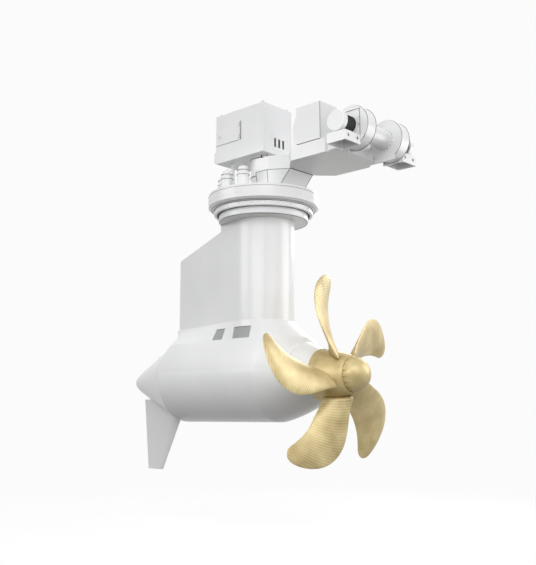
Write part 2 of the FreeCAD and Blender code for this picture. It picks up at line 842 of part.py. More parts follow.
def palm(index):
    """Round foot of a blade, in its seat in the hub."""
    foot = rod(palm_radius, V(blade_x, 0, palm_seat_radius), Z_DIR, hub_rear_radius - palm_seat_radius)
    foot.translate(V(0, 0, pod_z))
    foot = foot.common(hub_outside())
    return turn_to_blade(foot, index)


def turn_to_blade(shape, index):
    turned = shape.copy()
    turned.rotate(V(0, 0, pod_z), X_DIR, blade_phase + 360.0 * index / blade_count)
    return turned


def propeller_hub():
    hub = hub_outside()
    hub = hub.cut(rod(shaft_radius, V(hub_rear_x - 1, 0, pod_z), X_DIR, shaft_end_x - hub_rear_x + 1))
    for index in range(blade_count):
        hub = hub.cut(palm(index))
    return hub


# Blade sections: place between root and tip, chord and thickness as shares of the diameter,
# and the angle by which the middle of the section lags behind the blade's own line.
# The root lies inside the hub, so the blade always grows out of it.
blade_root_radius = hub_mid_radius - 41.0
blade_stations = (0.0, 0.1282, 0.2949, 0.4615, 0.6154, 0.7436, 0.8590, 0.9423, 0.9936)
blade_chords = (0.144, 0.148, 0.172, 0.198, 0.222, 0.232, 0.220, 0.168, 0.080)
blade_thickness = (0.042, 0.036, 0.028, 0.021, 0.0155, 0.0115, 0.0085, 0.0066, 0.0052)
blade_skew = (0.0, 3.0, 5.5, 7.2, 10.0, 13.8, 18.6, 23.0, 26.4)

# Section shape: share of the chord behind the leading edge, share of the full thickness
section_fullness = ((0.0, 0.16), (0.04, 0.42), (0.14, 0.74), (0.3, 0.96),
                    (0.5, 1.0), (0.7, 0.78), (0.88, 0.42), (1.0, 0.16))


def blade_point(radius, along, offset, lag, flat):
    """Point of a section: along its helix from the middle, and off it by offset."""
    pitch = pitch_ratio * 2.0 * propeller_radius
    slope = math.atan(pitch / (2.0 * math.pi * radius))
    turn = -math.radians(lag)
    x = blade_x + pitch * turn / (2.0 * math.pi)
    x += along * math.sin(slope) + offset * math.cos(slope)
    across = along * math.cos(slope) - offset * math.sin(slope)
    if flat:
        y = -radius * math.sin(turn) - across * math.cos(turn)
        z = radius * math.cos(turn) - across * math.sin(turn)
        return V(x, y, pod_z + z)
    turn += across / radius
    return V(x, -radius * math.sin(turn), pod_z + radius * math.cos(turn))


def blade_section(station):
    radius = blade_root_radius + blade_stations[station] * (propeller_radius - blade_root_radius)
    chord = blade_chords[station] * 2.0 * propeller_radius
    thick = blade_thickness[station] * 2.0 * propeller_radius
    lag = blade_skew[station]
    camber = blade_camber * chord
    flat = station in (0, len(blade_stations) - 1)

    def side(sign):
        points = []
        for share, full in section_fullness:
            along = chord * (0.5 - share)
            arch = camber * (1.0 - (2.0 * share - 1.0) ** 2)
            points.append(blade_point(radius, along, arch + sign * full * thick / 2.0, lag, flat))
        return points

    back = side(1.0)
    face = side(-1.0)
    upper = Part.BSplineCurve()
    upper.interpolate(back)
    lower = Part.BSplineCurve()
    lower.interpolate(list(reversed(face)))
    edges = [upper.toShape(), line(back[-1], face[-1]), lower.toShape(), line(face[0], back[0])]
    return Part.Wire(edges)


def blade_form():
    wires = [blade_section(station) for station in range(len(blade_stations))]
    return Part.makeLoft(wires, True, False)


def propeller_blade(form, index):
    blade = turn_to_blade(form.cut(hub_outside()), index)
    return blade.fuse(palm(index))


def hub_cap():
    """Domed cap over the front of the hub, with a rim and a row of bolt slots."""
    start = hub_front_x
    rim_end = start + cap_rim_length
    rim = cap_radius + cap_rim_height
    top_x = start + hub_cap_length
    top = shaft_point(top_x, 0)
    height = hub_cap_length - cap_rim_length
    sphere = (cap_radius ** 2 + height ** 2) / (2.0 * height)
    bend = math.pi / 4.0
    middle = shaft_point(top_x - sphere + sphere * math.cos(bend), sphere * math.sin(bend))
    edges = [line(shaft_point(start, 0), shaft_point(start, rim)),
             line(shaft_point(start, rim), shaft_point(rim_end, rim)),
             line(shaft_point(rim_end, rim), shaft_point(rim_end, cap_radius)),
             arc(shaft_point(rim_end, cap_radius), middle, top), line(top, shaft_point(start, 0))]
    cap = turned_on_shaft(edges)
    slots = []
    for index in range(cap_slot_count):
        slot = rod(cap_slot_radius, V(rim_end, 0, cap_radius - cap_slot_rise), X_DIR, cap_slot_length)
        slot.translate(V(0, 0, pod_z))
        slot.rotate(V(0, 0, pod_z), X_DIR, 360.0 * index / cap_slot_count)
        slots.append(slot)
    return cut_all(cap, slots)


# Slip rings and their cabinet
def slip_column():
    """Fixed tube between deck and cabinet, round the turning slip-ring tube."""
    return upright_ring(column_radius, column_radius - column_wall, 0.0, cabinet_z[0])


def slip_tube():
    foot = upright_ring(slip_foot_radius, slip_tube_radius - slip_tube_wall, inner_ring_bottom_z,
                        inner_ring_bottom_z + slip_foot_thickness)
    first_disc_z = cabinet_z[0] + slip_disc_start
    top = first_disc_z + slip_tube_head + slip_disc_count * slip_disc_pitch
    body = upright_ring(slip_tube_radius, slip_tube_radius - slip_tube_wall, inner_ring_bottom_z, top)
    parts = [body]
    for index in range(slip_disc_count):
        z = first_disc_z + index * slip_disc_pitch
        parts.append(upright_ring(slip_disc_radius, slip_tube_radius - 1.0, z, z + slip_disc_thickness))
    return foot.fuse(parts)


def slip_brushes():
    """Two brush towers on the cabinet floor, one each side of the slip rings."""
    height = slip_disc_start + slip_disc_count * slip_disc_pitch
    base = cabinet_z[0] + cabinet_wall
    low = slip_disc_radius + brush_gap
    half = brush_tower_half_width
    arm = brush_arm_half_width
    towers = []
    for side in (1, -1):
        y = sorted((side * low, side * (low + brush_tower_depth)))
        tower = box((-half, half), y, (base, base + height))
        arm_y = sorted((side * (slip_disc_radius + body_gap), side * (low + 1.0)))
        arms = []
        for index in range(slip_disc_count):
            z = cabinet_z[0] + slip_disc_start + index * slip_disc_pitch
            arm_z = (z + brush_arm_inset, z + slip_disc_thickness - brush_arm_inset)
            arms.append(box((-arm, arm), arm_y, arm_z))
        towers.append(tower.fuse(arms))
    return Part.makeCompound(towers)


def shrunk(pair, margin):
    return (pair[0] + margin, pair[1] - margin)


def cabinet():
    """Welded sheet-metal house over the slip rings, with a small junction box at its rear."""
    y = (-cabinet_half_width, cabinet_half_width)
    w = cabinet_wall
    outer = box(cabinet_x, y, cabinet_z)
    inner = box(shrunk(cabinet_x, w), shrunk(y, w), shrunk(cabinet_z, w))
    shell = outer.cut(inner)
    shell = shell.cut(rod(column_radius - column_wall, V(0, 0, cabinet_z[0] - 1), Z_DIR, w + 2))
    door_hole = box((hatch_x[0], hatch_x[1]), (y[0] - 1, y[0] + w + 1), hatch_z)
    vent_hole = box((cabinet_x[1] - w - 1, cabinet_x[1] + 1), shrunk(vent_y, vent_frame_width),
                    shrunk(vent_z, vent_frame_width))
    ledge = hatch_ledge()
    junction = box((cabinet_x[0] - junction_box_depth, cabinet_x[0] + 1), junction_box_y, junction_box_z)
    return shell.cut(door_hole).cut(vent_hole).fuse([ledge, junction])


def hatch_ledge():
    """Frame behind the hatch opening that the hatch closes against."""
    start = cabinet_wall - cabinet_half_width
    y = (start, start + hatch_ledge_thickness)
    frame = box(shrunk(hatch_x, -hatch_ledge_width), y, shrunk(hatch_z, -hatch_ledge_width))
    opening = box(shrunk(hatch_x, hatch_ledge_overlap), shrunk(y, -1.0),
                  shrunk(hatch_z, hatch_ledge_overlap))
    return frame.cut(opening)


knuckle_radius = hinge_pin_radius + knuckle_wall
hinge_axis_y = -cabinet_half_width - knuckle_radius - 1.0
hinge_axis_x = hatch_x[1] + 6.0
hinge_heights = (hatch_z[0] + knuckle_height, hatch_z[1] - 2.0 * knuckle_height)


def cabinet_hatch():
    """Swinging hatch in the side of the cabinet, with two knuckles."""
    inner_y = -cabinet_half_width + cabinet_wall - body_gap
    door_y = (inner_y - hatch_thickness, inner_y)
    leaf = box(shrunk(hatch_x, hatch_gap), door_y, shrunk(hatch_z, hatch_gap))
    parts = []
    bores = []
    for z in hinge_heights:
        knuckle = rod(knuckle_radius, V(hinge_axis_x, hinge_axis_y, z), Z_DIR, knuckle_height)
        strap = box((hatch_x[1] - hinge_strap_length, hinge_axis_x),
                    (hinge_axis_y - hinge_strap_half, door_y[0] + 0.5), (z, z + knuckle_height))
        parts.extend([knuckle, strap])
        bore_base = V(hinge_axis_x, hinge_axis_y, z - 1)
        bores.append(rod(hinge_pin_radius + shaft_play, bore_base, Z_DIR, knuckle_height + 2))
    handle_x = hatch_x[0] + handle_inset
    middle_z = sum(hatch_z) / 2.0
    handle = rod(handle_radius, V(handle_x, door_y[0], middle_z), V(0, -1, 0), handle_length)
    knob_y = door_y[0] - handle_length + 1.0
    knob = box((handle_x - knob_half_width, handle_x + knob_half_width), (knob_y - knob_thickness, knob_y),
               (middle_z - knob_half_height, middle_z + knob_half_height))
    return leaf.fuse(parts + [handle, knob]).cut(Part.makeCompound(bores))


def hatch_hinges():
    """Pins and their ears, fixed to the cabinet beside the hatch."""
    height = hinge_ear_height
    pieces = []
    for z in hinge_heights:
        pin_length = knuckle_height + 2.0 * height
        pin = rod(hinge_pin_radius, V(hinge_axis_x, hinge_axis_y, z - height), Z_DIR, pin_length)
        ears = []
        for ear_z in (z - height, z + knuckle_height + body_gap):
            ear = rod(knuckle_radius, V(hinge_axis_x, hinge_axis_y, ear_z), Z_DIR, height - body_gap)
            foot = box((hinge_axis_x, hinge_axis_x + hinge_strap_length),
                       (hinge_axis_y - hinge_strap_half, -cabinet_half_width),
                       (ear_z, ear_z + height - body_gap))
            ears.extend([ear, foot])
        pieces.append(pin.fuse(ears))
    return Part.makeCompound(pieces)


def cabinet_vent():
    """Louvre plate with three upright slots, set in the front of the cabinet."""
    face = cabinet_x[1]
    plate = box((face - cabinet_wall, face + vent_frame_depth), vent_y, vent_z)
    keep = box((face, face + vent_frame_depth + 1), vent_y, vent_z)
    inner = box((face - cabinet_wall, face + 1), shrunk(vent_y, vent_frame_width),
                shrunk(vent_z, vent_frame_width))
    plate = plate.common(keep.fuse(inner))
    slots = []
    for index in range(vent_slot_count):
        centre = vent_slot_middle_y + (index - (vent_slot_count - 1) / 2.0) * vent_slot_pitch
        y = (centre - vent_slot_width / 2.0, centre + vent_slot_width / 2.0)
        slots.append(box((face - cabinet_wall - 1, face + vent_frame_depth + 1), y, vent_slot_z))
    return cut_all(plate, slots)


def cabinet_posts():
    posts = []
    half = cabinet_post_size / 2.0
    for side in (1, -1):
        y = side * cabinet_post_y
        x_pair = (cabinet_post_x - half, cabinet_post_x + half)
        posts.append(box(x_pair, (y - half, y + half), (0.0, cabinet_z[0])))
    return Part.makeCompound(posts)


# Air ducts
def octagon_points(x, half_width, rear_corner, front_corner, z):
    """Plan outline with its corners cut; corners are (along X, along Y)."""
    rx, ry = rear_corner
    fx, fy = front_corner
    h = half_width
    return [V(x[0] + rx, -h, z), V(x[1] - fx, -h, z), V(x[1], -h + fy, z), V(x[1], h - fy, z),
            V(x[1] - fx, h, z), V(x[0] + rx, h, z), V(x[0], h - ry, z), V(x[0], -h + ry, z)]


def air_funnel():
    """Duct that leads the air from the trunk down through the deck."""
    small = duct_small_corner

    def form(inset, low, high):
        bottom = octagon_points(shrunk(funnel_x, inset), funnel_half_width - inset, small,
                                funnel_corner, low)
        top = octagon_points((funnel_x[0] + inset, trunk_front_x - inset), trunk_half_width - inset, small,
                             trunk_corner, high)
        wires = [Part.makePolygon(points + [points[0]]) for points in (bottom, top)]
        return Part.makeLoft(wires, True, True)
    return form(0.0, 0.0, plenum_z[0]).cut(form(duct_wall, 0.0, plenum_z[0]))


def air_trunk():
    """Upper end of the funnel, which joins the plenum from behind."""
    small = duct_small_corner
    x = (funnel_x[0], plenum_x[0])
    height = plenum_z[1] - plenum_z[0]
    outline = octagon_points(x, trunk_half_width, small, trunk_corner, plenum_z[0])
    outer = polygon_face(outline).extrude(V(0, 0, height))
    inset = octagon_points(shrunk(x, duct_wall), trunk_half_width - duct_wall, small, trunk_corner,
                           plenum_z[0])
    inner = polygon_face(inset).extrude(V(0, 0, height - duct_wall))
    return outer.cut(inner).cut(duct_window(x[1] - duct_wall - 1, x[1] + 1))


def duct_window(start_x, end_x):
    """Opening through the walls where trunk and plenum meet."""
    return box((start_x, end_x), (-window_half_width, window_half_width), shrunk(plenum_z, window_margin))


def plenum_block():
    corner = (plenum_corner, plenum_corner)
    outline = octagon_points(plenum_x, plenum_half_width, corner, corner, plenum_z[0])
    return polygon_face(outline).extrude(V(0, 0, plenum_z[1] - plenum_z[0]))


def plenum():
    """Wide flat duct that carries the coolers; the fan drums reach into its far corners."""
    corner = (plenum_corner, plenum_corner)
    height = plenum_z[1] - plenum_z[0]
    w = duct_wall
    outer = plenum_block()
    outline = octagon_points(shrunk(plenum_x, w), plenum_half_width - w, corner, corner, plenum_z[0] + w)
    inner = polygon_face(outline).extrude(V(0, 0, height - 2 * w))
    shell = outer.cut(inner).cut(duct_window(plenum_x[0] - 1, plenum_x[0] + w + 1))
    for side in (1, -1):
        drum_start = V(fan_x, side * fan_drum_y[0], fan_z)
        drum = rod(fan_drum_radius, drum_start, V(0, side, 0), fan_drum_y[1] - fan_drum_y[0])
        shell = shell.cut(drum).cut(fan_outlet_passage(side))
    return shell


def cooler_boxes():
    """Two air coolers on the plenum, each with a recessed foot and a sloping rear hood."""
    coolers = []
    inset = cooler_foot_inset
    for side in (1, -1):
        y = sorted((side * cooler_y[0], side * cooler_y[1]))
        body = box(cooler_x, y, cooler_z)
        foot = box(shrunk(cooler_x, inset), shrunk(y, inset), (plenum_z[1], cooler_z[0] + 1))
        hood_y = shrunk(y, cooler_hood_inset)
        front_x = cooler_x[0] + 1
        rear_x = cooler_x[0] - cooler_hood_length
        hood = polygon_face([V(front_x, hood_y[0], cooler_z[1] - cooler_hood_top_drop),
                             V(rear_x, hood_y[0], cooler_z[1] - cooler_hood_drop),
                             V(rear_x, hood_y[0], plenum_z[1]), V(front_x, hood_y[0], plenum_z[1])])
        hood = hood.extrude(V(0, hood_y[1] - hood_y[0], 0))
        coolers.append(body.fuse([foot, hood]))
    return Part.makeCompound(coolers)


# Fans
def fan_casing(side):
    """Round drum between two square plates, with its outlet to the plenum."""
    y_in, y_out = fan_drum_y
    t = fan_plate_thickness
    base = V(fan_x, side * y_in, fan_z)
    axis = V(0, side, 0)
    width = y_out - y_in
    drum = rod(fan_drum_radius, base, axis, width)
    hollow = rod(fan_drum_radius - fan_drum_wall, base + axis * t, axis, width - 2 * t)
    y_pair = sorted((side * y_in, side * y_out))
    outlet_y = (y_pair[0] + fan_outlet_inset, y_pair[1] - fan_outlet_inset)
    outlet = box((fan_outlet_start_x, fan_x), outlet_y, fan_outlet_z).cut(plenum_block())
    plates = []
    for plate_y in (y_in, y_out - t):
        pair = sorted((side * plate_y, side * (plate_y + t)))
        plates.append(box(fan_plate_x, pair, fan_plate_z))
    shell = drum.fuse(plates + [outlet])
    shell = shell.cut(hollow).cut(fan_outlet_passage(side))
    inlet = rod(fan_inlet_radius - link_duct_wall, base - axis, axis, t + 2)
    shaft_hole = rod(fan_shaft_radius + fan_shaft_clearance, base + axis * (width - t - 1), axis, t + 2)
    return shell.cut(inlet).cut(shaft_hole)


def fan_outlet_passage(side):
    """Inside of the box that leads from a fan drum into the plenum."""
    w = fan_drum_wall + fan_outlet_inset
    y = sorted((side * (fan_drum_y[0] + w), side * (fan_drum_y[1] - w)))
    z = (fan_outlet_z[0] + fan_drum_wall, fan_outlet_z[1] - fan_drum_wall)
    return box((fan_outlet_start_x - 100.0, fan_x), y, z)


def fan_link_duct():
    """Round duct that joins the two fan drums, with a flange at each end."""
    half = fan_drum_y[0]
    base = V(fan_x, -half, fan_z)
    inner = fan_inlet_radius - link_duct_wall
    duct = tube(fan_inlet_radius, inner, base, Y_DIR, 2 * half)
    flanges = []
    t = link_flange_thickness
    pitch = t + link_flange_gap
    for y in (-half, pitch - half, half - t, half - t - pitch):
        flanges.append(tube(link_flange_radius, inner, V(fan_x, y, fan_z), Y_DIR, t))
    return duct.fuse(flanges)


def fan_wheel(side):
    """Impeller with straight blades between two discs, and its shaft into the motor."""
    t = fan_plate_thickness
    gap = fan_wheel_clearance
    axis = V(0, side, 0)
    start = fan_drum_y[0] + t + gap
    end = fan_drum_y[1] - t - gap
    base = V(fan_x, side * start, fan_z)
    width = end - start
    disc = fan_back_disc_thickness
    back = rod(fan_wheel_radius, V(fan_x, side * (end - disc), fan_z), axis, disc)
    front = tube(fan_wheel_radius, fan_inlet_radius, base, axis, fan_front_disc_thickness)
    hub = rod(fan_wheel_hub_radius, base + axis * fan_hub_inset, axis, width - fan_hub_inset)
    shaft_end = fan_motor_y[0] + fan_shaft_seat
    spindle = rod(fan_shaft_radius, V(fan_x, side * end, fan_z), axis, shaft_end - end)
    blades = []
    y = sorted((side * (start + 1.0), side * (end - 1.0)))
    for index in range(fan_blade_count):
        blade = box((fan_blade_inner_radius, fan_wheel_radius), y, (0.0, fan_blade_thickness))
        blade.rotate(V(0, 0, 0), Y_DIR, 360.0 * index / fan_blade_count)
        blade.translate(V(fan_x, 0, fan_z))
        blades.append(blade)
    return back.fuse([front, hub, spindle] + blades)


def fan_motor(side):
    axis = V(0, side, 0)
    start, end = fan_motor_y
    base = V(fan_x, side * start, fan_z)
    core = rod(fan_motor_radius - fan_motor_fin_height, base, axis, end - start)
    neck_length = start - fan_drum_y[1] + 1
    neck_base = V(fan_x, side * fan_drum_y[1], fan_z)
    neck = rod(fan_motor_neck_share * fan_motor_radius, neck_base, axis, neck_length)
    fins = []
    y = sorted((side * (start + fan_motor_fin_start), side * end))
    inner = fan_motor_radius - 1.25 * fan_motor_fin_height
    for index in range(fan_motor_fins):
        fin = box((inner, fan_motor_radius), y, (-fan_motor_fin_thickness / 2, fan_motor_fin_thickness / 2))
        fin.rotate(V(0, 0, 0), Y_DIR, 360.0 * index / fan_motor_fins)
        fin.translate(V(fan_x, 0, fan_z))
        fins.append(fin)
    foot_half = fan_motor_foot_half
    foot_y = sorted((side * (start + fan_motor_foot_inset), side * (end - fan_motor_foot_inset)))
    foot_z = (bed_z[1], bed_z[1] + fan_motor_foot_thickness)
    foot = box((fan_x - foot_half, fan_x + foot_half), foot_y, foot_z)
    web_half = fan_motor_web_half
    web = box((fan_x - web_half, fan_x + web_half), shrunk(foot_y, fan_motor_web_inset),
              (bed_z[1] + 1.0, fan_z - web_half))
    motor = core.fuse([neck, foot, web] + fins)
    bore_base = V(fan_x, side * (fan_drum_y[1] - 1.0), fan_z)
    bore_length = start + fan_shaft_seat - fan_drum_y[1] + 2.0
    return motor.cut(rod(fan_shaft_radius + shaft_play, bore_base, axis, bore_length))


def fan_cowl(side):
    """Smooth cover over the outer end of the fan motor."""
    start = fan_motor_y[1]
    axis = V(0, side, 0)
    base = V(fan_x, side * start, fan_z)
    length = fan_cowl_end_y - start
    body = rod(fan_cowl_radius, base, axis, length)
    outer_edges = [edge for edge in body.Edges
                   if abs(edge.BoundBox.YMin - edge.BoundBox.YMax) < 1.0
                   and abs(abs(edge.BoundBox.YMin) - fan_cowl_end_y) < 1.0]
    return body.makeFillet(fan_cowl_round, outer_edges)


def fan_bed(side):
    """Box bracket under the fan motor, open below, bolted to the outer plate."""
    y = sorted((side * fan_drum_y[1], side * bed_outer_y))
    block = box(bed_x, y, bed_z)
    w = bed_wall
    inner = box(shrunk(bed_x, w), shrunk(y, w), (bed_z[0] - 1, bed_z[1] - w))
    bed = block.cut(inner)
    holes = []
    for hole_y in bed_hole_y:
        holes.append(rod(bed_hole_radius, V(bed_x[1] - w - 1, side * hole_y, bed_hole_z), X_DIR, w + 2))
    return bed.cut(Part.makeCompound(holes))


save("casing_ring", casing_ring())
save("casing_deck", casing_deck())
save("race_lower", race_lower())
save("race_upper", race_upper())
save("race_bolts", race_bolts())
save("bearing_rollers", bearing_rollers())
save("slewing_seal", slewing_seal())
save("steering_gearboxes", steering_gearboxes())
save("steering_motors", steering_motors())
save("slip_column", slip_column())
save("slip_brushes", slip_brushes())
save("cabinet", cabinet())
save("cabinet_vent", cabinet_vent())
save("cabinet_posts", cabinet_posts())
save("hatch_hinges", hatch_hinges())
save("cabinet_hatch", cabinet_hatch())
save("air_funnel", air_funnel())
save("air_plenum", plenum().fuse(air_trunk()))
save("cooler_boxes", cooler_boxes())
save("fan_link_duct", fan_link_duct())
for side_name, side in (("left", 1), ("right", -1)):
    save("fan_casing_" + side_name, fan_casing(side))
    save("fan_motor_" + side_name, fan_motor(side))
    save("fan_wheel_" + side_name, fan_wheel(side))

save("fan_motor_cowls", Part.makeCompound([fan_cowl(1), fan_cowl(-1)]))
save("fan_beds", Part.makeCompound([fan_bed(1), fan_bed(-1)]))

save("slewing_inner_gear", slewing_inner_gear())
save("slip_tube", slip_tube())
save("strut_flange", strut_flange())
save("strut_flange_bolts", strut_flange_bolts())
save("strut_casing", strut_casing())
save("strut_skirt", strut_skirt())
save("pocket_covers", pocket_covers())
save("nacelle_shell", nacelle_shell())
save("tail_cone", tail_cone())
save("tail_fin", tail_fin())
save("nose_shield", nose_shield())
save("rear_shield", rear_shield())
save("motor_stator", stator())
save("propeller_bearing", shaft_ring(front_bearing_x, front_bearing_radius))
save("thrust_bearing", shaft_ring(rear_bearing_x, rear_bearing_radius))
save("shaft_seal", shaft_ring(seal_x, seal_radius))

save("propeller_shaft", shaft())
save("motor_rotor", rotor())
save("propeller_hub", propeller_hub())
save("hub_cap", hub_cap())
blade = blade_form()
for number in range(blade_count):
    save("propeller_blade_" + str(number + 1), propeller_blade(blade, number))
for number, angle in enumerate(drive_angles):
    save("steering_pinion_" + str(number + 1), steering_pinion(angle))
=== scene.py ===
import bmesh
import bpy
import math
from mathutils import Matrix, Vector


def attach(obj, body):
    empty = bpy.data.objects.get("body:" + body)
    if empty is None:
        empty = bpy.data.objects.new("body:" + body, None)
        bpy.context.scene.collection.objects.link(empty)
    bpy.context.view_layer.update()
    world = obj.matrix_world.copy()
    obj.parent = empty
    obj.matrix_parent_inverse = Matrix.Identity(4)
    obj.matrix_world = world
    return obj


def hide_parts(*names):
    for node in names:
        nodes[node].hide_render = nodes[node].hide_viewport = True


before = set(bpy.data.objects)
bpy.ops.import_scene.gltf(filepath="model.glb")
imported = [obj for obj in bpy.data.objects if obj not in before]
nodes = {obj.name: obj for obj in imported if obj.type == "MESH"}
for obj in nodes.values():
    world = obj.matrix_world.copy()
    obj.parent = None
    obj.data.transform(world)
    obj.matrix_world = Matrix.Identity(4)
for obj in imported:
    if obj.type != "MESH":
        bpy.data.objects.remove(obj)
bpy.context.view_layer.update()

# Studio: a pale floor below the hanging unit, a white background and large soft lamps.
# The white is what the camera and reflections see; the lamps and a dimmer sky light the paint.
floor_z = -10.4
floor_reach = 240.0
background_white = 0.965
shadow_near, shadow_far = 4.0, 16.0
floor_tone, floor_glow = 0.20, 0.79
sky_stops = ((0.0, 0.03), (0.36, 0.07), (0.5, 0.40), (0.7, 0.56), (1.0, 0.58))
camera_place, camera_heading, camera_pitch, camera_lens = (18.473, -19.583, -7.189), 43.008, 9.093, 53.08


def feed(tree, node, inputs):
    """Give a node's inputs their values; an input takes a plain value or another node's output."""
    for key, value in inputs.items():
        if isinstance(value, bpy.types.NodeSocket):
            tree.links.new(value, node.inputs[key])
        else:
            node.inputs[key].default_value = value


def new_node(tree, kind, inputs=None, **settings):
    """A shader or geometry node with its settings and inputs."""
    node = tree.nodes.new(kind)
    for key, value in settings.items():
        setattr(node, key, value)
    feed(tree, node, inputs or {})
    return node


def grey(level):
    return level, level, level, 1.0


def seen_directly(tree):
    """1 for camera, glossy and transmission rays, 0 for the rays that carry light to matt surfaces."""
    rays = new_node(tree, "ShaderNodeLightPath").outputs
    glossy = new_node(tree, "ShaderNodeMath", {0: rays["Is Glossy Ray"], 1: rays["Is Transmission Ray"]},
                      operation="MAXIMUM")
    both = new_node(tree, "ShaderNodeMath", {0: rays["Is Camera Ray"], 1: glossy.outputs[0]},
                    operation="MAXIMUM")
    return both.outputs[0]


def sky():
    """White where it is seen; for lighting, bright overhead and dim from below."""
    world = bpy.data.worlds.new("studio_sky")
    world.use_nodes = True
    bpy.context.scene.world = world
    tree = world.node_tree
    tree.nodes.clear()
    coords = new_node(tree, "ShaderNodeTexCoord")
    split = new_node(tree, "ShaderNodeSeparateXYZ", {"Vector": coords.outputs["Generated"]})
    height = new_node(tree, "ShaderNodeMapRange", {"From Min": -1.0, "Value": split.outputs["Z"]})
    ramp = new_node(tree, "ShaderNodeValToRGB", {"Fac": height.outputs["Result"]})
    for index, (place, level) in enumerate(sky_stops):
        stop = ramp.color_ramp.elements[index] if index < 2 else ramp.color_ramp.elements.new(place)
        stop.position = place
        stop.color = (level, level * 1.005, level * 1.015, 1.0)
    light = new_node(tree, "ShaderNodeBackground", {"Color": ramp.outputs["Color"]})
    white = new_node(tree, "ShaderNodeBackground", {"Color": grey(background_white)})
    mix = new_node(tree, "ShaderNodeMixShader",
                   {0: seen_directly(tree), 1: light.outputs[0], 2: white.outputs[0]})
    new_node(tree, "ShaderNodeOutputWorld", {"Surface": mix.outputs[0]})


def studio_floor():
    """Flat floor: matt and shadowed near the unit, plain white farther out, clear from below."""
    mesh = bpy.data.meshes.new("studio_floor")
    r = floor_reach
    corners = [(-r, -r, floor_z), (r, -r, floor_z), (r, r, floor_z), (-r, r, floor_z)]
    mesh.from_pydata(corners, [], [(0, 1, 2, 3)])
    floor = bpy.data.objects.new("studio_floor", mesh)
    bpy.context.scene.collection.objects.link(floor)
    material = bpy.data.materials.new("studio_floor")
    material.use_nodes = True
    tree = material.node_tree
    tree.nodes.clear()
    seen = seen_directly(tree)
    coords = new_node(tree, "ShaderNodeTexCoord")
    flat = new_node(tree, "ShaderNodeVectorMath", {0: coords.outputs["Object"], 1: (1.0, 1.0, 0.0)},
                    operation="MULTIPLY")
    length = new_node(tree, "ShaderNodeVectorMath", {0: flat.outputs["Vector"]}, operation="LENGTH")
    fade = new_node(tree, "ShaderNodeMapRange",
                    {"Value": length.outputs["Value"], "From Min": shadow_near, "From Max": shadow_far},
                    interpolation_type="SMOOTHSTEP")
    matt = new_node(tree, "ShaderNodeBsdfDiffuse", {"Color": grey(floor_tone)})
    glow = new_node(tree, "ShaderNodeEmission", {"Color": grey(floor_glow), "Strength": seen})
    near = new_node(tree, "ShaderNodeAddShader", {0: matt.outputs[0], 1: glow.outputs[0]})
    far = new_node(tree, "ShaderNodeEmission", {"Color": grey(background_white), "Strength": seen})
    mix = new_node(tree, "ShaderNodeMixShader",
                   {0: fade.outputs["Result"], 1: near.outputs[0], 2: far.outputs[0]})
    side = new_node(tree, "ShaderNodeNewGeometry")
    clear = new_node(tree, "ShaderNodeBsdfTransparent")
    one_way = new_node(tree, "ShaderNodeMixShader",
                       {0: side.outputs["Backfacing"], 1: mix.outputs[0], 2: clear.outputs[0]})
    new_node(tree, "ShaderNodeOutputMaterial", {"Surface": one_way.outputs[0]})
    mesh.materials.append(material)


def panel_lamp(name, place, aim, width, height, power):
    data = bpy.data.lights.new(name, "AREA")
    data.shape = "RECTANGLE"
    data.size = width
    data.size_y = height
    data.energy = power
    lamp = bpy.data.objects.new(name, data)
    lamp.location = place
    lamp.rotation_euler = (Vector(aim) - Vector(place)).to_track_quat("-Z", "Y").to_euler()
    lamp.visible_camera = False
    bpy.context.scene.collection.objects.link(lamp)


def studio_camera():
    heading, pitch = math.radians(camera_heading), math.radians(camera_pitch)
    data = bpy.data.cameras.new("camera")
    data.lens = camera_lens
    data.sensor_width = 36.0
    data.clip_end = 500.0
    camera = bpy.data.objects.new("camera", data)
    camera.location = camera_place
    level = math.cos(pitch)
    look = Vector((-math.sin(heading) * level, math.cos(heading) * level, math.sin(pitch)))
    camera.rotation_euler = look.to_track_quat("-Z", "Y").to_euler()
    bpy.context.scene.collection.objects.link(camera)
    bpy.context.scene.camera = camera
    bpy.context.scene.view_settings.view_transform = "Standard"


sky()
studio_floor()
studio_camera()
panel_lamp("front_panel", (16.0, -14.0, 9.0), (0.0, 0.0, -3.5), width=12.0, height=9.0, power=1000.0)
panel_lamp("level_panel", (13.0, -4.0, -1.5), (0.0, 0.0, -3.0), width=8.0, height=6.0, power=270.0)
panel_lamp("right_panel", (10.0, 9.0, -1.0), (0.0, 0.0, -3.0), width=8.0, height=7.0, power=700.0)
panel_lamp("camera_panel", (7.0, -17.0, -0.5), (0.0, 0.0, -4.0), width=14.0, height=6.0, power=940.0)
panel_lamp("left_panel", (-12.0, -20.0, 4.0), (-1.0, 0.0, -3.5), width=12.0, height=10.0, power=1150.0)
panel_lamp("back_panel", (-4.0, 20.0, 6.0), (0.0, 0.0, -3.0), width=14.0, height=8.0, power=1500.0)
panel_lamp("top_panel", (1.0, 0.0, 17.0), (1.0, 0.0, -3.0), width=14.0, height=12.0, power=640.0)


# Hull ring and deck: a thick welded steel ring bolted up into the ship's bottom, with the
# round deck of the steering room in it. All outer steel has the same smooth white paint.
ring_radius, ring_band_z, lip_foot_z = 1.820, -0.268, -0.075
ring_foot_z, ring_foot_radius, ring_bore = -0.497, 1.716, 1.632
ring_shade_radius, deck_bead, deck_screw_radius = 0.006, 0.010, 1.575
# Sizes of bolts and screws: head radius, head height, washer radius
ring_plug, deck_screw = (0.020, 0.010, 0.030), (0.020, 0.018, 0.028)


def object_noise(tree, scale, detail):
    coords = new_node(tree, "ShaderNodeTexCoord")
    noise = new_node(tree, "ShaderNodeTexNoise",
                     {"Vector": coords.outputs["Object"], "Scale": scale, "Detail": detail})
    return noise.outputs["Fac"]


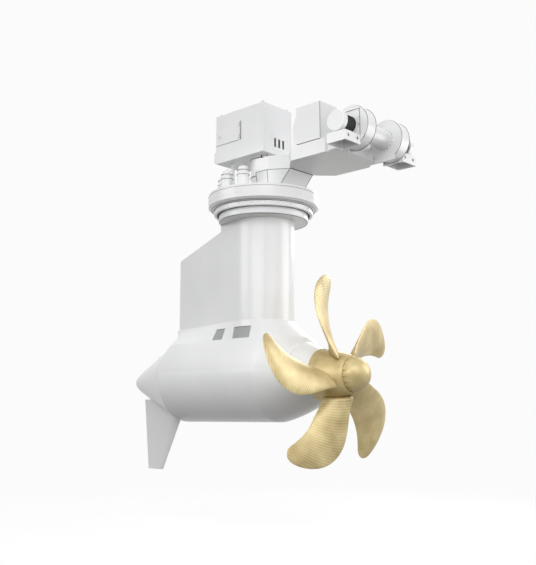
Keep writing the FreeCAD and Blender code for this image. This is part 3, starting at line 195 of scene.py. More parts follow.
def spread(tree, source, low, high):
    """A noise's middle range, stretched from low to high."""
    node = new_node(tree, "ShaderNodeMapRange",
                    {"Value": source, "From Min": 0.3, "From Max": 0.7, "To Min": low, "To Max": high})
    return node.outputs["Result"]


def toned(tree, factor, dark, light):
    """A colour between dark and light."""
    mix = new_node(tree, "ShaderNodeMix", {"Factor": factor, "A": (*dark, 1.0), "B": (*light, 1.0)},
                   data_type="RGBA")
    return mix.outputs["Result"]


def new_finish(name):
    material = bpy.data.materials.new(name)
    material.use_nodes = True
    return material, material.node_tree, material.node_tree.nodes["Principled BSDF"]


def grained(name, dark, light, metallic, gloss, grain, relief, coat=0.0):
    """A finish whose tone varies slowly and whose gloss and surface vary with a fine grain."""
    material, tree, shader = new_finish(name)
    broad = spread(tree, object_noise(tree, scale=grain * 0.03, detail=4.0), 0.0, 1.0)
    fine = object_noise(tree, scale=grain, detail=3.0)
    raised = new_node(tree, "ShaderNodeBump", {"Strength": relief, "Distance": 0.003, "Height": fine})
    feed(tree, shader, {"Base Color": toned(tree, broad, dark, light), "Metallic": metallic,
                        "Roughness": spread(tree, fine, gloss * 0.85, gloss * 1.2),
                        "Normal": raised.outputs["Normal"],
                        "Coat Weight": coat, "Coat Roughness": 0.10})
    return material


white_paint = grained("white_paint", (0.80, 0.803, 0.808), (0.84, 0.842, 0.845),
                      metallic=0.0, gloss=0.34, grain=26.0, relief=0.06, coat=0.25)
# Black for sealed joints; the same black also draws painted shade lines in the ring stack and under the
# flange.
joint_and_shade_black = grained("joint_and_shade_black", (0.012, 0.012, 0.012), (0.02, 0.02, 0.021),
                      metallic=0.0, gloss=0.6, grain=60.0, relief=0.1)
plain_steel = grained("plain_steel", (0.45, 0.45, 0.455), (0.62, 0.62, 0.63),
                      metallic=1.0, gloss=0.36, grain=90.0, relief=0.08)


def dress(material, *names):
    """Give solids of the part their finish."""
    for name in names:
        nodes[name].data.materials.clear()
        nodes[name].data.materials.append(material)


def add_piece(name, mesh, material, body, stands_for=()):
    """A finished piece that moves with its body; it may stand in for solids of the part."""
    if material is not None:
        mesh.materials.clear()
        mesh.materials.append(material)
    piece = bpy.data.objects.new(name, mesh)
    bpy.context.scene.collection.objects.link(piece)
    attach(piece, body)
    if stands_for:
        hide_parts(*stands_for)
    return piece


def smooth_mesh(mesh, sharp_degrees=32.0):
    for polygon in mesh.polygons:
        polygon.use_smooth = True
    mesh.set_sharp_from_angle(angle=math.radians(sharp_degrees))
    return mesh


def new_geometry_tree(name, sizes):
    """An empty geometry tree with a mesh input, one float input for each size and a material input."""
    tree = bpy.data.node_groups.new(name, "GeometryNodeTree")
    tree.interface.new_socket("Geometry", in_out="INPUT", socket_type="NodeSocketGeometry")
    keys = {}
    for size in sizes:
        socket = tree.interface.new_socket(size, in_out="INPUT", socket_type="NodeSocketFloat")
        keys[size] = socket.identifier
    socket = tree.interface.new_socket("Finish", in_out="INPUT", socket_type="NodeSocketMaterial")
    keys["Finish"] = socket.identifier
    tree.interface.new_socket("Geometry", in_out="OUTPUT", socket_type="NodeSocketGeometry")
    return tree, tree.nodes.new("NodeGroupInput"), tree.nodes.new("NodeGroupOutput"), keys


def grown_mesh(name, seed_mesh, tree, keys, values):
    """Run a geometry tree on a seed mesh and keep the plain mesh that it makes."""
    carrier = bpy.data.objects.new(name + "_seed", seed_mesh)
    bpy.context.scene.collection.objects.link(carrier)
    modifier = carrier.modifiers.new("grow", "NODES")
    modifier.node_group = tree
    for key, value in values.items():
        modifier[keys[key]] = value
    grown = bpy.data.meshes.new_from_object(carrier.evaluated_get(bpy.context.evaluated_depsgraph_get()))
    carrier.modifiers.remove(modifier)
    bpy.data.objects.remove(carrier)
    grown.name = name
    return grown


def close_tree(tree, made, source, target):
    """Give what a geometry tree makes its material and send it out."""
    realize = new_node(tree, "GeometryNodeRealizeInstances", {"Geometry": made})
    finish = new_node(tree, "GeometryNodeSetMaterial",
                      {"Geometry": realize.outputs["Geometry"], "Material": source.outputs["Finish"]})
    feed(tree, target, {"Geometry": finish.outputs["Geometry"]})


def bead_tree():
    """Round bead laid along every edge of a mesh: sealant, rod, or a dark line of painted shade."""
    tree, source, target, keys = new_geometry_tree("bead_along_edges", ("Bead Radius",))
    path = new_node(tree, "GeometryNodeMeshToCurve", {"Mesh": source.outputs["Geometry"]})
    ring = new_node(tree, "GeometryNodeCurvePrimitiveCircle",
                    {"Resolution": 8, "Radius": source.outputs["Bead Radius"]})
    sweep = new_node(tree, "GeometryNodeCurveToMesh",
                     {"Curve": path.outputs["Curve"], "Profile Curve": ring.outputs["Curve"],
                      "Fill Caps": True})
    close_tree(tree, sweep.outputs["Mesh"], source, target)
    return tree, keys


beads, bead_keys = bead_tree()


def add_beads(name, paths, radius, material, body):
    """Beads along paths; each path is (points, closed)."""
    verts, edges = [], []
    for points, closed in paths:
        start = len(verts)
        verts += [tuple(point) for point in points]
        edges += [(start + i, start + i + 1) for i in range(len(points) - 1)]
        if closed:
            edges.append((len(verts) - 1, start))
    seed = bpy.data.meshes.new(name + "_paths")
    seed.from_pydata(verts, edges, [])
    grown = grown_mesh(name, seed, beads, bead_keys, {"Bead Radius": radius, "Finish": material})
    return add_piece(name, smooth_mesh(grown, sharp_degrees=50.0), None, body)


def circle(centre, radius, steps, level=True):
    """Points round a centre, in a level plane or in one that stands fore and aft."""
    x, y, z = centre
    turns = [2.0 * math.pi * i / steps for i in range(steps)]
    if level:
        return [(x + radius * math.cos(t), y + radius * math.sin(t), z) for t in turns]
    return [(x + radius * math.cos(t), y, z + radius * math.sin(t)) for t in turns]


def level_circle(radius, z, steps=144):
    return circle((0.0, 0.0, z), radius, steps), True


def stud_tree(name, sides):
    """A bolt head on a washer at every point, standing along the point's own 'outward' direction."""
    tree, source, target, keys = new_geometry_tree(name, ("Head Radius", "Head Height", "Washer Radius"))
    given = source.outputs
    washer_height, lift_height = [
        new_node(tree, "ShaderNodeMath", {0: given["Head Height"], 1: share}, operation="MULTIPLY")
        for share in (0.3, 0.55)]
    washer = new_node(tree, "GeometryNodeMeshCylinder",
                      {"Vertices": 14, "Radius": given["Washer Radius"], "Depth": washer_height.outputs[0]})
    head = new_node(tree, "GeometryNodeMeshCylinder",
                    {"Vertices": sides, "Radius": given["Head Radius"], "Depth": given["Head Height"]})
    lift = new_node(tree, "ShaderNodeCombineXYZ", {"Z": lift_height.outputs[0]})
    raised = new_node(tree, "GeometryNodeTransform",
                      {"Geometry": head.outputs["Mesh"], "Translation": lift.outputs["Vector"]})
    stud = new_node(tree, "GeometryNodeJoinGeometry", {"Geometry": raised.outputs["Geometry"]})
    feed(tree, stud, {"Geometry": washer.outputs["Mesh"]})
    outward = new_node(tree, "GeometryNodeInputNamedAttribute", {"Name": "outward"},
                       data_type="FLOAT_VECTOR")
    turn = new_node(tree, "FunctionNodeAlignRotationToVector", {"Vector": outward.outputs["Attribute"]},
                    axis="Z")
    place = new_node(tree, "GeometryNodeInstanceOnPoints",
                     {"Points": given["Geometry"], "Instance": stud.outputs["Geometry"],
                      "Rotation": turn.outputs["Rotation"]})
    close_tree(tree, place.outputs["Instances"], source, target)
    return tree, keys


hex_studs, hex_keys = stud_tree("hex_head_bolts", 6)
round_studs, round_keys = stud_tree("round_head_screws", 12)


def add_studs(name, places, stud_size, material, body, round_heads=False):
    """Bolt heads at (point, outward direction) places."""
    radius, height, washer = stud_size
    seed = bpy.data.meshes.new(name + "_places")
    seed.from_pydata([tuple(point) for point, _ in places], [], [])
    field = seed.attributes.new("outward", "FLOAT_VECTOR", "POINT")
    for item, (_, direction) in zip(field.data, places):
        item.vector = direction
    tree, keys = (round_studs, round_keys) if round_heads else (hex_studs, hex_keys)
    sizes = {"Head Radius": radius, "Head Height": height, "Washer Radius": washer, "Finish": material}
    return add_piece(name, grown_mesh(name, seed, tree, keys, sizes), None, body)


def bolt_circle(centre, radius, count, direction, level=True):
    """Places on a circle that all point the same way."""
    return [(point, direction) for point in circle(centre, radius, count, level)]


def outward_row(count, radius, z):
    """Places on a level circle that point away from the steering axis."""
    return list(zip(circle((0.0, 0.0, z), radius, count), circle((0.0, 0.0, 0.0), 1.0, count)))


dress(white_paint, "casing_ring", "casing_deck")
# Thin black lines where the rings of the stack meet: painted shade in the joints, drawn as beads.
add_beads("ring_shade_lines", [level_circle(ring_radius - 0.001, lip_foot_z - 0.012),
                               level_circle(ring_foot_radius + 0.004, ring_foot_z + 0.001),
                               level_circle(ring_bore + 0.006, ring_foot_z - 0.024)],
          ring_shade_radius, joint_and_shade_black, "ship_side")
add_studs("ring_band_plugs", outward_row(72, ring_radius - 0.002, ring_band_z), ring_plug,
          white_paint, "ship_side", round_heads=True)
upward = (0.0, 0.0, 1.0)
add_studs("deck_screws", bolt_circle((0.0, 0.0, 0.0), deck_screw_radius, 60, upward), deck_screw,
          plain_steel, "ship_side")
add_beads("deck_edge_bead", [level_circle(ring_bore - 0.001, -0.001)], deck_bead, joint_and_shade_black,
          "ship_side")


# Slewing bearing: two fixed steel races with a turning toothed ring between them on rollers.
# The outside is painted white, the running faces are bare ground steel under a rubber lip.
race_radius, race_joint_z, nipple_z = 1.630, -0.509, -0.585
race_shade_radius, grease_nipple = 0.0045, (0.014, 0.020, 0.020)
ground_steel = grained("ground_steel", (0.50, 0.50, 0.51), (0.62, 0.62, 0.63),
                       metallic=1.0, gloss=0.24, grain=70.0, relief=0.05)
# Black rubber for the seals; the same black also colours the dark cables that stand for shade beside the
# column.
seal_and_shade_black = grained("seal_and_shade_black", (0.015, 0.015, 0.015), (0.03, 0.03, 0.03),
                     metallic=0.0, gloss=0.7, grain=50.0, relief=0.2)

dress(white_paint, "race_lower", "race_upper")
dress(ground_steel, "bearing_rollers", "slewing_inner_gear")
dress(seal_and_shade_black, "slewing_seal")
dress(plain_steel, "race_bolts")
# Thin black line at the joint of the races: painted shade, drawn as a bead.
add_beads("race_shade_line", [level_circle(race_radius - 0.002, race_joint_z)], race_shade_radius, joint_and_shade_black,
          "ship_side")
add_studs("race_grease_nipples", outward_row(24, race_radius - 0.001, nipple_z), grease_nipple,
          plain_steel, "ship_side", round_heads=True)


# Strut: a tall hollow welded column with a round front and a narrow rear edge, under the
# turning flange. Its plates are ground flush and painted white.
flange_radius, flange_joint_z, flange_shade_radius = 1.458, -0.902, 0.006
dress(white_paint, "strut_flange", "strut_casing")
dress(plain_steel, "strut_flange_bolts")
# Thin black line round the flange joint: painted shade, drawn as a bead.
add_beads("flange_shade_line", [level_circle(flange_radius, flange_joint_z)], flange_shade_radius, joint_and_shade_black,
          "turning_pod")


# Skirt: the flared plate foot of the strut, welded down on the pod, with two recessed
# access pockets on each side. Grey covers close the pockets.
cover_grey = grained("cover_grey", (0.29, 0.295, 0.30), (0.36, 0.365, 0.37),
                     metallic=0.0, gloss=0.42, grain=40.0, relief=0.06)
shaft_z, pod_radius, pod_front_x, pod_rear_x, tail_tip_x = -5.990, 1.400, 0.820, -3.550, -6.500
nose_stations = ((0.820, 1.400), (1.456, 1.226), (2.515, 0.765))
tail_stations = ((0.0, 1.0), (0.17, 0.868), (0.34, 0.707), (0.53, 0.532), (0.71, 0.376), (0.868, 0.22),
                 (1.0, 0.0))
strut_nose_radius, strut_tail_x, strut_tail_radius = 1.010, -4.077, 0.090
skirt_radius, skirt_front_x, skirt_rear_x = 1.100, 0.760, -2.950
skirt_top_z, skirt_crease_z, skirt_foot_z = -4.195, -4.814, -5.900
foot_radius, foot_front_x, foot_rear_x = 1.385, 0.560, -3.000
skirt_wall, inner_squeeze, foot_sunk = 0.050, 0.99, 0.012
# Pockets: front and rear end of each, and their upper and lower edge as shares of the flare's height
pockets = ((0.405, -0.337), (-0.813, -1.302))
pocket_upper, pocket_lower, pocket_lip, pocket_depth, pocket_edge = 0.33, 0.93, 0.01, 0.045, 0.006
cover_thickness, cover_room = 0.020, 0.025
side_from, side_to, side_gap, side_steps, end_steps, foot_steps = 0.520, -2.600, 0.03, 30, 26, 14


def through_three(stations, x):
    """Value at x of the smooth curve through three (x, value) stations."""
    total = 0.0
    for i, (xi, value) in enumerate(stations):
        for j, (xj, _) in enumerate(stations):
            if i != j:
                value *= (x - xj) / (xi - xj)
        total += value
    return total


def pod_radius_at(x):
    if x > pod_front_x:
        return through_three(nose_stations, x)
    if x > pod_rear_x:
        return pod_radius
    share = min(1.0, (pod_rear_x - x) / (pod_rear_x - tail_tip_x))
    for (low, size_low), (high, size_high) in zip(tail_stations, tail_stations[1:]):
        if share <= high:
            return pod_radius * (size_low + (size_high - size_low) * (share - low) / (high - low))
    return 0.0


def half_outline(front_centre, front_radius, rear_centre, rear_radius, steps=90):
    """Left half of two circles joined by tangents, from the front tip to the rear tip."""
    lean = math.asin((front_radius - rear_radius) / (front_centre - rear_centre))
    turn = 0.5 * math.pi + lean
    points = []
    for i in range(steps + 1):
        t = turn * i / steps
        points.append((front_centre + front_radius * math.cos(t), front_radius * math.sin(t)))
    for i in range(steps + 1):
        t = turn + (math.pi - turn) * i / steps
        points.append((rear_centre + rear_radius * math.cos(t), rear_radius * math.sin(t)))
    return points


def width_at(points, x):
    for (xa, ya), (xb, yb) in zip(points, points[1:]):
        if xa >= x >= xb and xa > xb:
            return ya + (yb - ya) * (xa - x) / (xa - xb)
    return 0.0


def even_points(points, count):
    """The same run, resampled to even steps along its length."""
    lengths = [0.0]
    for (xa, ya), (xb, yb) in zip(points, points[1:]):
        lengths.append(lengths[-1] + math.hypot(xb - xa, yb - ya))
    found, k = [], 0
    for i in range(count):
        goal = lengths[-1] * i / (count - 1)
        while k < len(lengths) - 2 and lengths[k + 1] < goal:
            k += 1
        t = (goal - lengths[k]) / max(1e-9, lengths[k + 1] - lengths[k])
        (xa, ya), (xb, yb) = points[k], points[k + 1]
        found.append((xa + (xb - xa) * t, ya + (yb - ya) * t))
    return found


def side_stations():
    """Places along the straight part of the side, with a close pair at each pocket's edges."""
    places = []
    for front, rear in pockets:
        places += [front, front - pocket_edge, rear + pocket_edge, rear]
    for i in range(side_steps + 1):
        x = side_from + (side_to - side_from) * i / side_steps
        if all(abs(x - place) > side_gap for place in places) or i in (0, side_steps):
            places.append(x)
    return sorted(places, reverse=True)


def skirt_run(front_centre, front_radius, rear_centre, rear_radius, middle):
    """Half outline sampled at matching places: even round both ends, at set places along the side."""
    points = half_outline(front_centre, front_radius, rear_centre, rear_radius)
    front = [point for point in points if point[0] > side_from]
    rear = [point for point in points if point[0] < side_to]
    run = even_points(front + [(side_from, width_at(points, side_from))], end_steps)[:-1]
    run += [(x, width_at(points, x)) for x in middle]
    return run + even_points([(side_to, width_at(points, side_to))] + rear, end_steps)[1:]


skirt_places = side_stations()
skirt_top = skirt_run(0.0, strut_nose_radius, strut_tail_x, strut_tail_radius, skirt_places)
skirt_crease = skirt_run(skirt_front_x, skirt_radius, skirt_rear_x, skirt_radius - 0.001, skirt_places)
skirt_low = skirt_run(foot_front_x, foot_radius, foot_rear_x, foot_radius - 0.001, skirt_places)


def on_flare(i, share, depth):
    """Point i of the outline on the sloping flare, moved inward by a depth."""
    (xa, ya), (xb, yb) = skirt_top[i], skirt_crease[i]
    rise = skirt_top_z - skirt_crease_z
    slope = math.hypot(yb - ya, rise)
    return (xa + (xb - xa) * share, ya + (yb - ya) * share - depth * rise / slope,
            skirt_top_z - rise * share - depth * (yb - ya) / slope)


def on_foot(i, share):
    """Point i between the crease and the line where the plate meets the pod."""
    (xa, ya), (xb, yb) = skirt_crease[i], skirt_low[i]
    reach = math.hypot(yb, skirt_foot_z - shaft_z)
    pull = (pod_radius_at(xb) - foot_sunk) / reach
    foot = (xb, yb * pull, shaft_z + (skirt_foot_z - shaft_z) * pull)
    round_off = math.sin(0.5 * math.pi * share)
    return (xa + (foot[0] - xa) * round_off, ya + (foot[1] - ya) * round_off,
            skirt_crease_z + (foot[2] - skirt_crease_z) * share)


def between_ends(x, front, rear):
    return front - 0.5 * pocket_edge > x > rear + 0.5 * pocket_edge


def pocket_depth_at(x, share):
    inside = pocket_upper + 0.5 * pocket_lip < share < pocket_lower - 0.5 * pocket_lip
    return pocket_depth if inside and any(between_ends(x, *ends) for ends in pockets) else 0.0


def face_outward(mesh, weld=0.0):
    """Turn all faces outward, after points closer than the weld distance are joined."""
    tidy = bmesh.new()
    tidy.from_mesh(mesh)
    if weld:
        bmesh.ops.remove_doubles(tidy, verts=tidy.verts, dist=weld)
    bmesh.ops.recalc_face_normals(tidy, faces=tidy.faces)
    tidy.to_mesh(mesh)
    tidy.free()


def mesh_from(name, verts, faces, sharp_degrees=32.0):
    mesh = bpy.data.meshes.new(name)
    mesh.from_pydata(verts, [], faces)
    face_outward(mesh, weld=1e-5)
    return smooth_mesh(mesh, sharp_degrees)


def skirt_mesh():
    """Closed shell: the outside from the strut down to the pod, then the inside back up."""
    shares = [0.0, 0.11, 0.22, pocket_upper, pocket_upper + pocket_lip, 0.50, 0.65, 0.80,
              pocket_lower - pocket_lip, pocket_lower, 1.0]
    points = range(len(skirt_top))
    rows = [[on_flare(i, share, pocket_depth_at(skirt_top[i][0], share)) for i in points]
            for share in shares]
    rows += [[on_foot(i, step / foot_steps) for i in points] for step in range(1, foot_steps + 1)]
    inward = skirt_wall + pocket_depth
    rows += [[(x * inner_squeeze, max(0.0, y - inward), z) for x, y, z in row] for row in reversed(rows)]
    verts, faces = [], []
    for row in rows:
        verts += row + [(x, -y, z) for x, y, z in reversed(row[1:-1])]
    count = len(verts) // len(rows)
    for r in range(len(rows)):
        below = (r + 1) % len(rows)
        for i in range(count):
            j = (i + 1) % count
            faces.append((r * count + i, r * count + j, below * count + j, below * count + i))
    return mesh_from("strut_foot", verts, faces, sharp_degrees=24.0)


def cover_mesh():
    """Flat-edged plates that follow the floor of each pocket."""
    verts, faces = [], []
    shares = [pocket_upper + cover_room, 0.5 * (pocket_upper + pocket_lower), pocket_lower - cover_room]
    high = len(shares)
    for ends in pockets:
        inside = [i for i, (x, _) in enumerate(skirt_top) if between_ends(x, *ends)]
        wide = len(inside)
        layer = wide * high
        rim = list(range(wide)) + [r * wide + wide - 1 for r in range(1, high)]
        rim += [(high - 1) * wide + c for c in range(wide - 2, -1, -1)]
        rim += [r * wide for r in range(high - 2, 0, -1)]
        for side in (1.0, -1.0):
            start = len(verts)
            for depth in (pocket_depth - cover_thickness, pocket_depth):
                for share in shares:
                    for i in inside:
                        x, y, z = on_flare(i, share, depth)
                        verts.append((x, side * y, z))
            for r in range(high - 1):
                for c in range(wide - 1):
                    a = start + r * wide + c
                    faces.append((a, a + 1, a + wide + 1, a + wide))
                    faces.append((a + layer, a + layer + wide, a + layer + wide + 1, a + layer + 1))
            for k, corner in enumerate(rim):
                a, b = start + corner, start + rim[(k + 1) % len(rim)]
                faces.append((a, b, b + layer, a + layer))
    return mesh_from("pocket_plates", verts, faces)


add_piece("strut_foot", skirt_mesh(), white_paint, "turning_pod", ("strut_skirt",))
add_piece("pocket_plates", cover_mesh(), cover_grey, "turning_pod", ("pocket_covers",))


# Pod: the barrel that holds the motor, its tail cone with a fixed fin and its domed nose.
# Thick steel plate, rolled and welded, with the same white paint.
dress(white_paint, "nacelle_shell", "tail_cone", "tail_fin", "nose_shield")


# Motor and shaft inside the pod: laminated cores, a forged shaft, cast shields and bearings.
# They are seen only through the openings of the shell.
core_brown = grained("core_brown", (0.10, 0.09, 0.085), (0.17, 0.16, 0.15),
                     metallic=0.3, gloss=0.6, grain=120.0, relief=0.2)
cast_grey = grained("cast_grey", (0.16, 0.16, 0.17), (0.24, 0.24, 0.25),
                    metallic=0.0, gloss=0.7, grain=30.0, relief=0.4)
dress(core_brown, "motor_stator", "motor_rotor")
dress(cast_grey, "rear_shield")
dress(ground_steel, "propeller_shaft", "propeller_bearing", "thrust_bearing")
dress(seal_and_shade_black, "shaft_seal")


# Propeller: five cast bronze blades on a cast hub with a domed cap. The blade faces are milled
# in fine lines across the blade and lightly polished, and each root runs out in a round fillet.
propeller_radius, pitch_ratio, blade_x = 3.050, 0.89, 3.135
blade_pitch = pitch_ratio * 2.0 * propeller_radius
blade_count, blade_phase = 5, 27.8
hub_rear, hub_mid, hub_front = (2.525, 0.815), (3.062, 0.712), (3.600, 0.562)
# Share of the tip radius, chord and thickness as shares of the diameter, lag in degrees
blade_sections = ((0.16, 0.146, 0.046, -1.0), (0.22, 0.144, 0.042, 0.0), (0.32, 0.148, 0.036, 3.0),
                  (0.45, 0.172, 0.028, 5.5), (0.58, 0.198, 0.021, 7.2), (0.70, 0.222, 0.0155, 10.0),
                  (0.80, 0.232, 0.0115, 13.8), (0.89, 0.222, 0.0085, 18.6), (0.955, 0.196, 0.0066, 23.0),
                  (1.00, 0.160, 0.0050, 26.7))
blade_camber, tip_round_start, tip_round_power = 0.042, 0.84, 2.6
root_fillet, root_sunk, fillet_spacing = 0.095, 0.02, 1.3
# Thickness along a section: power and fullness of its curve, and the taper to the trailing edge
section_power, section_fullness, section_taper = 2.3, 0.62, 0.22
hub_edge, hub_rim, hub_steps = 0.018, 0.012, 24
bronze_dark, bronze_light = (0.40, 0.30, 0.125), (0.84, 0.70, 0.38)
# Milling lines: scale, waver, share in the tone, and strength and depth of the relief
milling_scale, milling_waver, milling_tone, milling_relief, milling_depth = 4.0, 0.4, 0.24, 0.18, 0.010


def bronze_finish():
    """Cast bronze: milled in fine lines across the blade, with slight patches of tone."""
    material, tree, shader = new_finish("milled_bronze")
    run = new_node(tree, "ShaderNodeUVMap", uv_map="blade_run")
    lines = new_node(tree, "ShaderNodeTexWave",
                     {"Vector": run.outputs["UV"], "Scale": milling_scale, "Distortion": milling_waver,
                      "Detail": 2.0}, wave_type="BANDS", bands_direction="Y").outputs["Fac"]
    broad = spread(tree, object_noise(tree, scale=1.6, detail=4.0), low=0.0, high=0.62)
    tone = new_node(tree, "ShaderNodeMath", {0: lines, 1: milling_tone, 2: broad}, operation="MULTIPLY_ADD")
    milled = new_node(tree, "ShaderNodeBump",
                      {"Strength": milling_relief, "Distance": milling_depth, "Height": lines})
    polish = spread(tree, object_noise(tree, scale=9.0, detail=3.0), low=0.37, high=0.43)
    feed(tree, shader, {"Base Color": toned(tree, tone.outputs[0], bronze_dark, bronze_light),
                        "Metallic": 0.30, "Roughness": polish, "Normal": milled.outputs["Normal"]})
    return material


def section_at(share):
    """Chord, thickness and lag of the blade at a share of its tip radius, on a smooth curve."""
    rows = blade_sections
    k = 1
    while k < len(rows) - 2 and share > rows[k + 1][0]:
        k += 1
    before, low, high, after = rows[k - 1], rows[k], rows[k + 1], rows[min(k + 2, len(rows) - 1)]
    t = (share - low[0]) / (high[0] - low[0])
    values = []
    for i in (1, 2, 3):
        slope_low = (high[i] - before[i]) / (high[0] - before[0])
        slope_high = (after[i] - low[i]) / (after[0] - low[0])
        span = high[0] - low[0]
        values.append(low[i] * (1 + 2 * t) * (1 - t) ** 2 + slope_low * span * t * (1 - t) ** 2
                      + high[i] * t * t * (3 - 2 * t) + slope_high * span * t * t * (t - 1))
    return values


def section_outline(share, points):
    """Section as (along, offset) pairs, from the leading edge over the back and home on the face."""
    chord, thick, lag = section_at(share)
    chord, thick = chord * 2.0 * propeller_radius, thick * 2.0 * propeller_radius
    if share > tip_round_start:
        rest = (share - tip_round_start) / (1.0 - tip_round_start)
        narrow = math.sqrt(max(0.0, 1.0 - rest ** tip_round_power))
        chord, thick = chord * max(narrow, 0.02), thick * max(narrow, 0.25)
    outline = []
    for side in (1.0, -1.0):
        for i in range(points):
            s = 0.5 - 0.5 * side * math.cos(math.pi * i / points)
            full = (1.0 - abs(2.0 * s - 1.0) ** section_power) ** section_fullness
            full *= 1.0 - section_taper * s
            arch = blade_camber * chord * (1.0 - (2.0 * s - 1.0) ** 2)
            outline.append((chord * (0.5 - s), arch + side * full * thick / 2.0))
    return outline, lag


def on_blade(radius, along, offset, lag):
    slope = math.atan(blade_pitch / (2.0 * math.pi * radius))
    turn = -math.radians(lag)
    x = blade_x + blade_pitch * turn / (2.0 * math.pi) + along * math.sin(slope) + offset * math.cos(slope)
    turn += (along * math.cos(slope) - offset * math.sin(slope)) / radius
    return Vector((x, -radius * math.sin(turn), radius * math.cos(turn)))


def hub_radius(x):
    """Smooth waist of the hub through its rear, middle and front radii."""
    return through_three((hub_rear, hub_mid, hub_front), x)


def blade_mesh(name, turn_degrees, points=34, spans=72, fillet_rows=9):
    """One blade: rows of section points up the root fillet and out to the tip, closed at both ends."""
    rows, runs = [], []
    turned = Matrix.Rotation(math.radians(turn_degrees), 3, "X")
    root_share = (hub_mid[1] + root_fillet) / propeller_radius
    base, lag = section_outline(root_share, points)
    count = len(base)
    outward = []
    for i in range(count):
        a, b = base[(i - 1) % count], base[(i + 1) % count]
        normal = Vector((b[1] - a[1], a[0] - b[0]))
        outward.append(-normal.normalized() if normal.length > 0 else Vector((0.0, 0.0)))
    for step in range(fillet_rows):
        rise = root_fillet * (step / fillet_rows) ** fillet_spacing
        flare = root_fillet - math.sqrt(max(0.0, root_fillet ** 2 - (root_fillet - rise) ** 2))
        if step == 0:
            rise = -root_sunk
        row = []
        for i in range(count):
            along, offset = base[i][0] + outward[i][0] * flare, base[i][1] + outward[i][1] * flare
            radius = hub_mid[1] + rise
            for _ in range(6):
                radius = hub_radius(on_blade(radius, along, offset, lag).x) + rise
            row.append((radius, on_blade(radius, along, offset, lag)))
        rows.append([point for _, point in row])
        runs.append(hub_mid[1] + rise)
    last = [hub_radius(point.x) + root_fillet for point in rows[-1]]
    for step in range(spans + 1):
        t = math.sin(0.5 * math.pi * step / spans)
        row = []
        for i in range(count):
            start = last[i] / propeller_radius
            share = start + (1.0 - start) * t
            outline, lag_here = section_outline(share, points)
            row.append(on_blade(share * propeller_radius, outline[i][0], outline[i][1], lag_here))
        rows.append(row)
        runs.append((root_share + (1.0 - root_share) * t) * propeller_radius)
    verts, faces = [], []
    for row in rows:
        for point in row:
            spot = turned @ point
            verts.append((spot.x, spot.y, spot.z + shaft_z))
    for r in range(len(rows) - 1):
        for i in range(count):
            j = (i + 1) % count
            faces.append((r * count + i, r * count + j, (r + 1) * count + j, (r + 1) * count + i))
    faces.append(tuple(reversed(range(count))))
    top = (len(rows) - 1) * count
    faces.append(tuple(range(top, top + count)))
    mesh = bpy.data.meshes.new(name)
    mesh.from_pydata(verts, [], faces)
    layer = mesh.uv_layers.new(name="blade_run")
    for polygon in mesh.polygons:
        for loop in polygon.loop_indices:
            index = mesh.loops[loop].vertex_index
            layer.data[loop].uv = ((index % count) / count, runs[index // count])
    face_outward(mesh)
    return smooth_mesh(mesh, sharp_degrees=60.0)


def turned_mesh(name, profile, steps=128):
    """Closed form turned about the shaft line from (radius, x) points; its ends lie on that line."""
    verts, faces = [], []
    count = len(profile)
    for step in range(steps):
        t = 2.0 * math.pi * step / steps
        verts += [(x, radius * math.cos(t), radius * math.sin(t) + shaft_z) for radius, x in profile]
        here, beside = step * count, (step + 1) % steps * count
        for i in range(count - 1):
            corners = [here + i, here + i + 1, beside + i + 1, beside + i]
            if profile[i][0] == 0.0:
                del corners[3]
            elif profile[i + 1][0] == 0.0:
                del corners[2]
            faces.append(corners)
    return mesh_from(name, verts, faces)


bronze = bronze_finish()
for number in range(1, blade_count + 1):
    blade = blade_mesh("milled_blade", blade_phase + 360.0 * (number - 1) / blade_count)
    add_piece("milled_blade_" + str(number), blade, bronze, "propeller",
              ("propeller_blade_" + str(number),))

hub_rows = [(0.0, hub_rear[0]), (hub_rear[1] - hub_edge, hub_rear[0]),
            (hub_rear[1] - 0.005, hub_rear[0] + 0.005),
            (hub_radius(hub_rear[0] + hub_edge), hub_rear[0] + hub_edge)]
for step in range(1, hub_steps):
    hub_x = hub_rear[0] + hub_edge + (hub_front[0] - hub_rear[0] - hub_edge - hub_rim) * step / hub_steps
    hub_rows.append((hub_radius(hub_x), hub_x))
hub_rows += [(hub_front[1] - 0.004, hub_front[0] - 0.006), (hub_front[1] - hub_rim, hub_front[0]),
             (0.0, hub_front[0])]
add_piece("turned_hub", turned_mesh("turned_hub", hub_rows), bronze, "propeller",
          ("propeller_hub",))
dress(bronze, "hub_cap")


# Slip rings and column: the brass rings turn with the pod inside a fixed tube that stands on the
# deck, and spring-loaded brushes in two towers carry the power across to them.
ring_brass = grained("ring_brass", (0.66, 0.48, 0.22), (0.78, 0.59, 0.30),
                     metallic=1.0, gloss=0.26, grain=60.0, relief=0.05)
tower_grey = grained("tower_grey", (0.03, 0.03, 0.032), (0.06, 0.06, 0.064),
                     metallic=0.0, gloss=0.45, grain=90.0, relief=0.1)
dress(white_paint, "slip_column", "cabinet_posts")
dress(ring_brass, "slip_tube")
dress(tower_grey, "slip_brushes")
column_radius, column_top, column_bead = 0.420, 1.301, 0.012
column_joint_z, shade_cable_angles = (0.05, 0.62, 1.24), (-55.0, -30.0, 150.0, 172.0)
shade_cable_radius, shade_cable_gap = 0.020, 0.024
column_beads = [level_circle(column_radius + 0.004, z, 64) for z in column_joint_z]
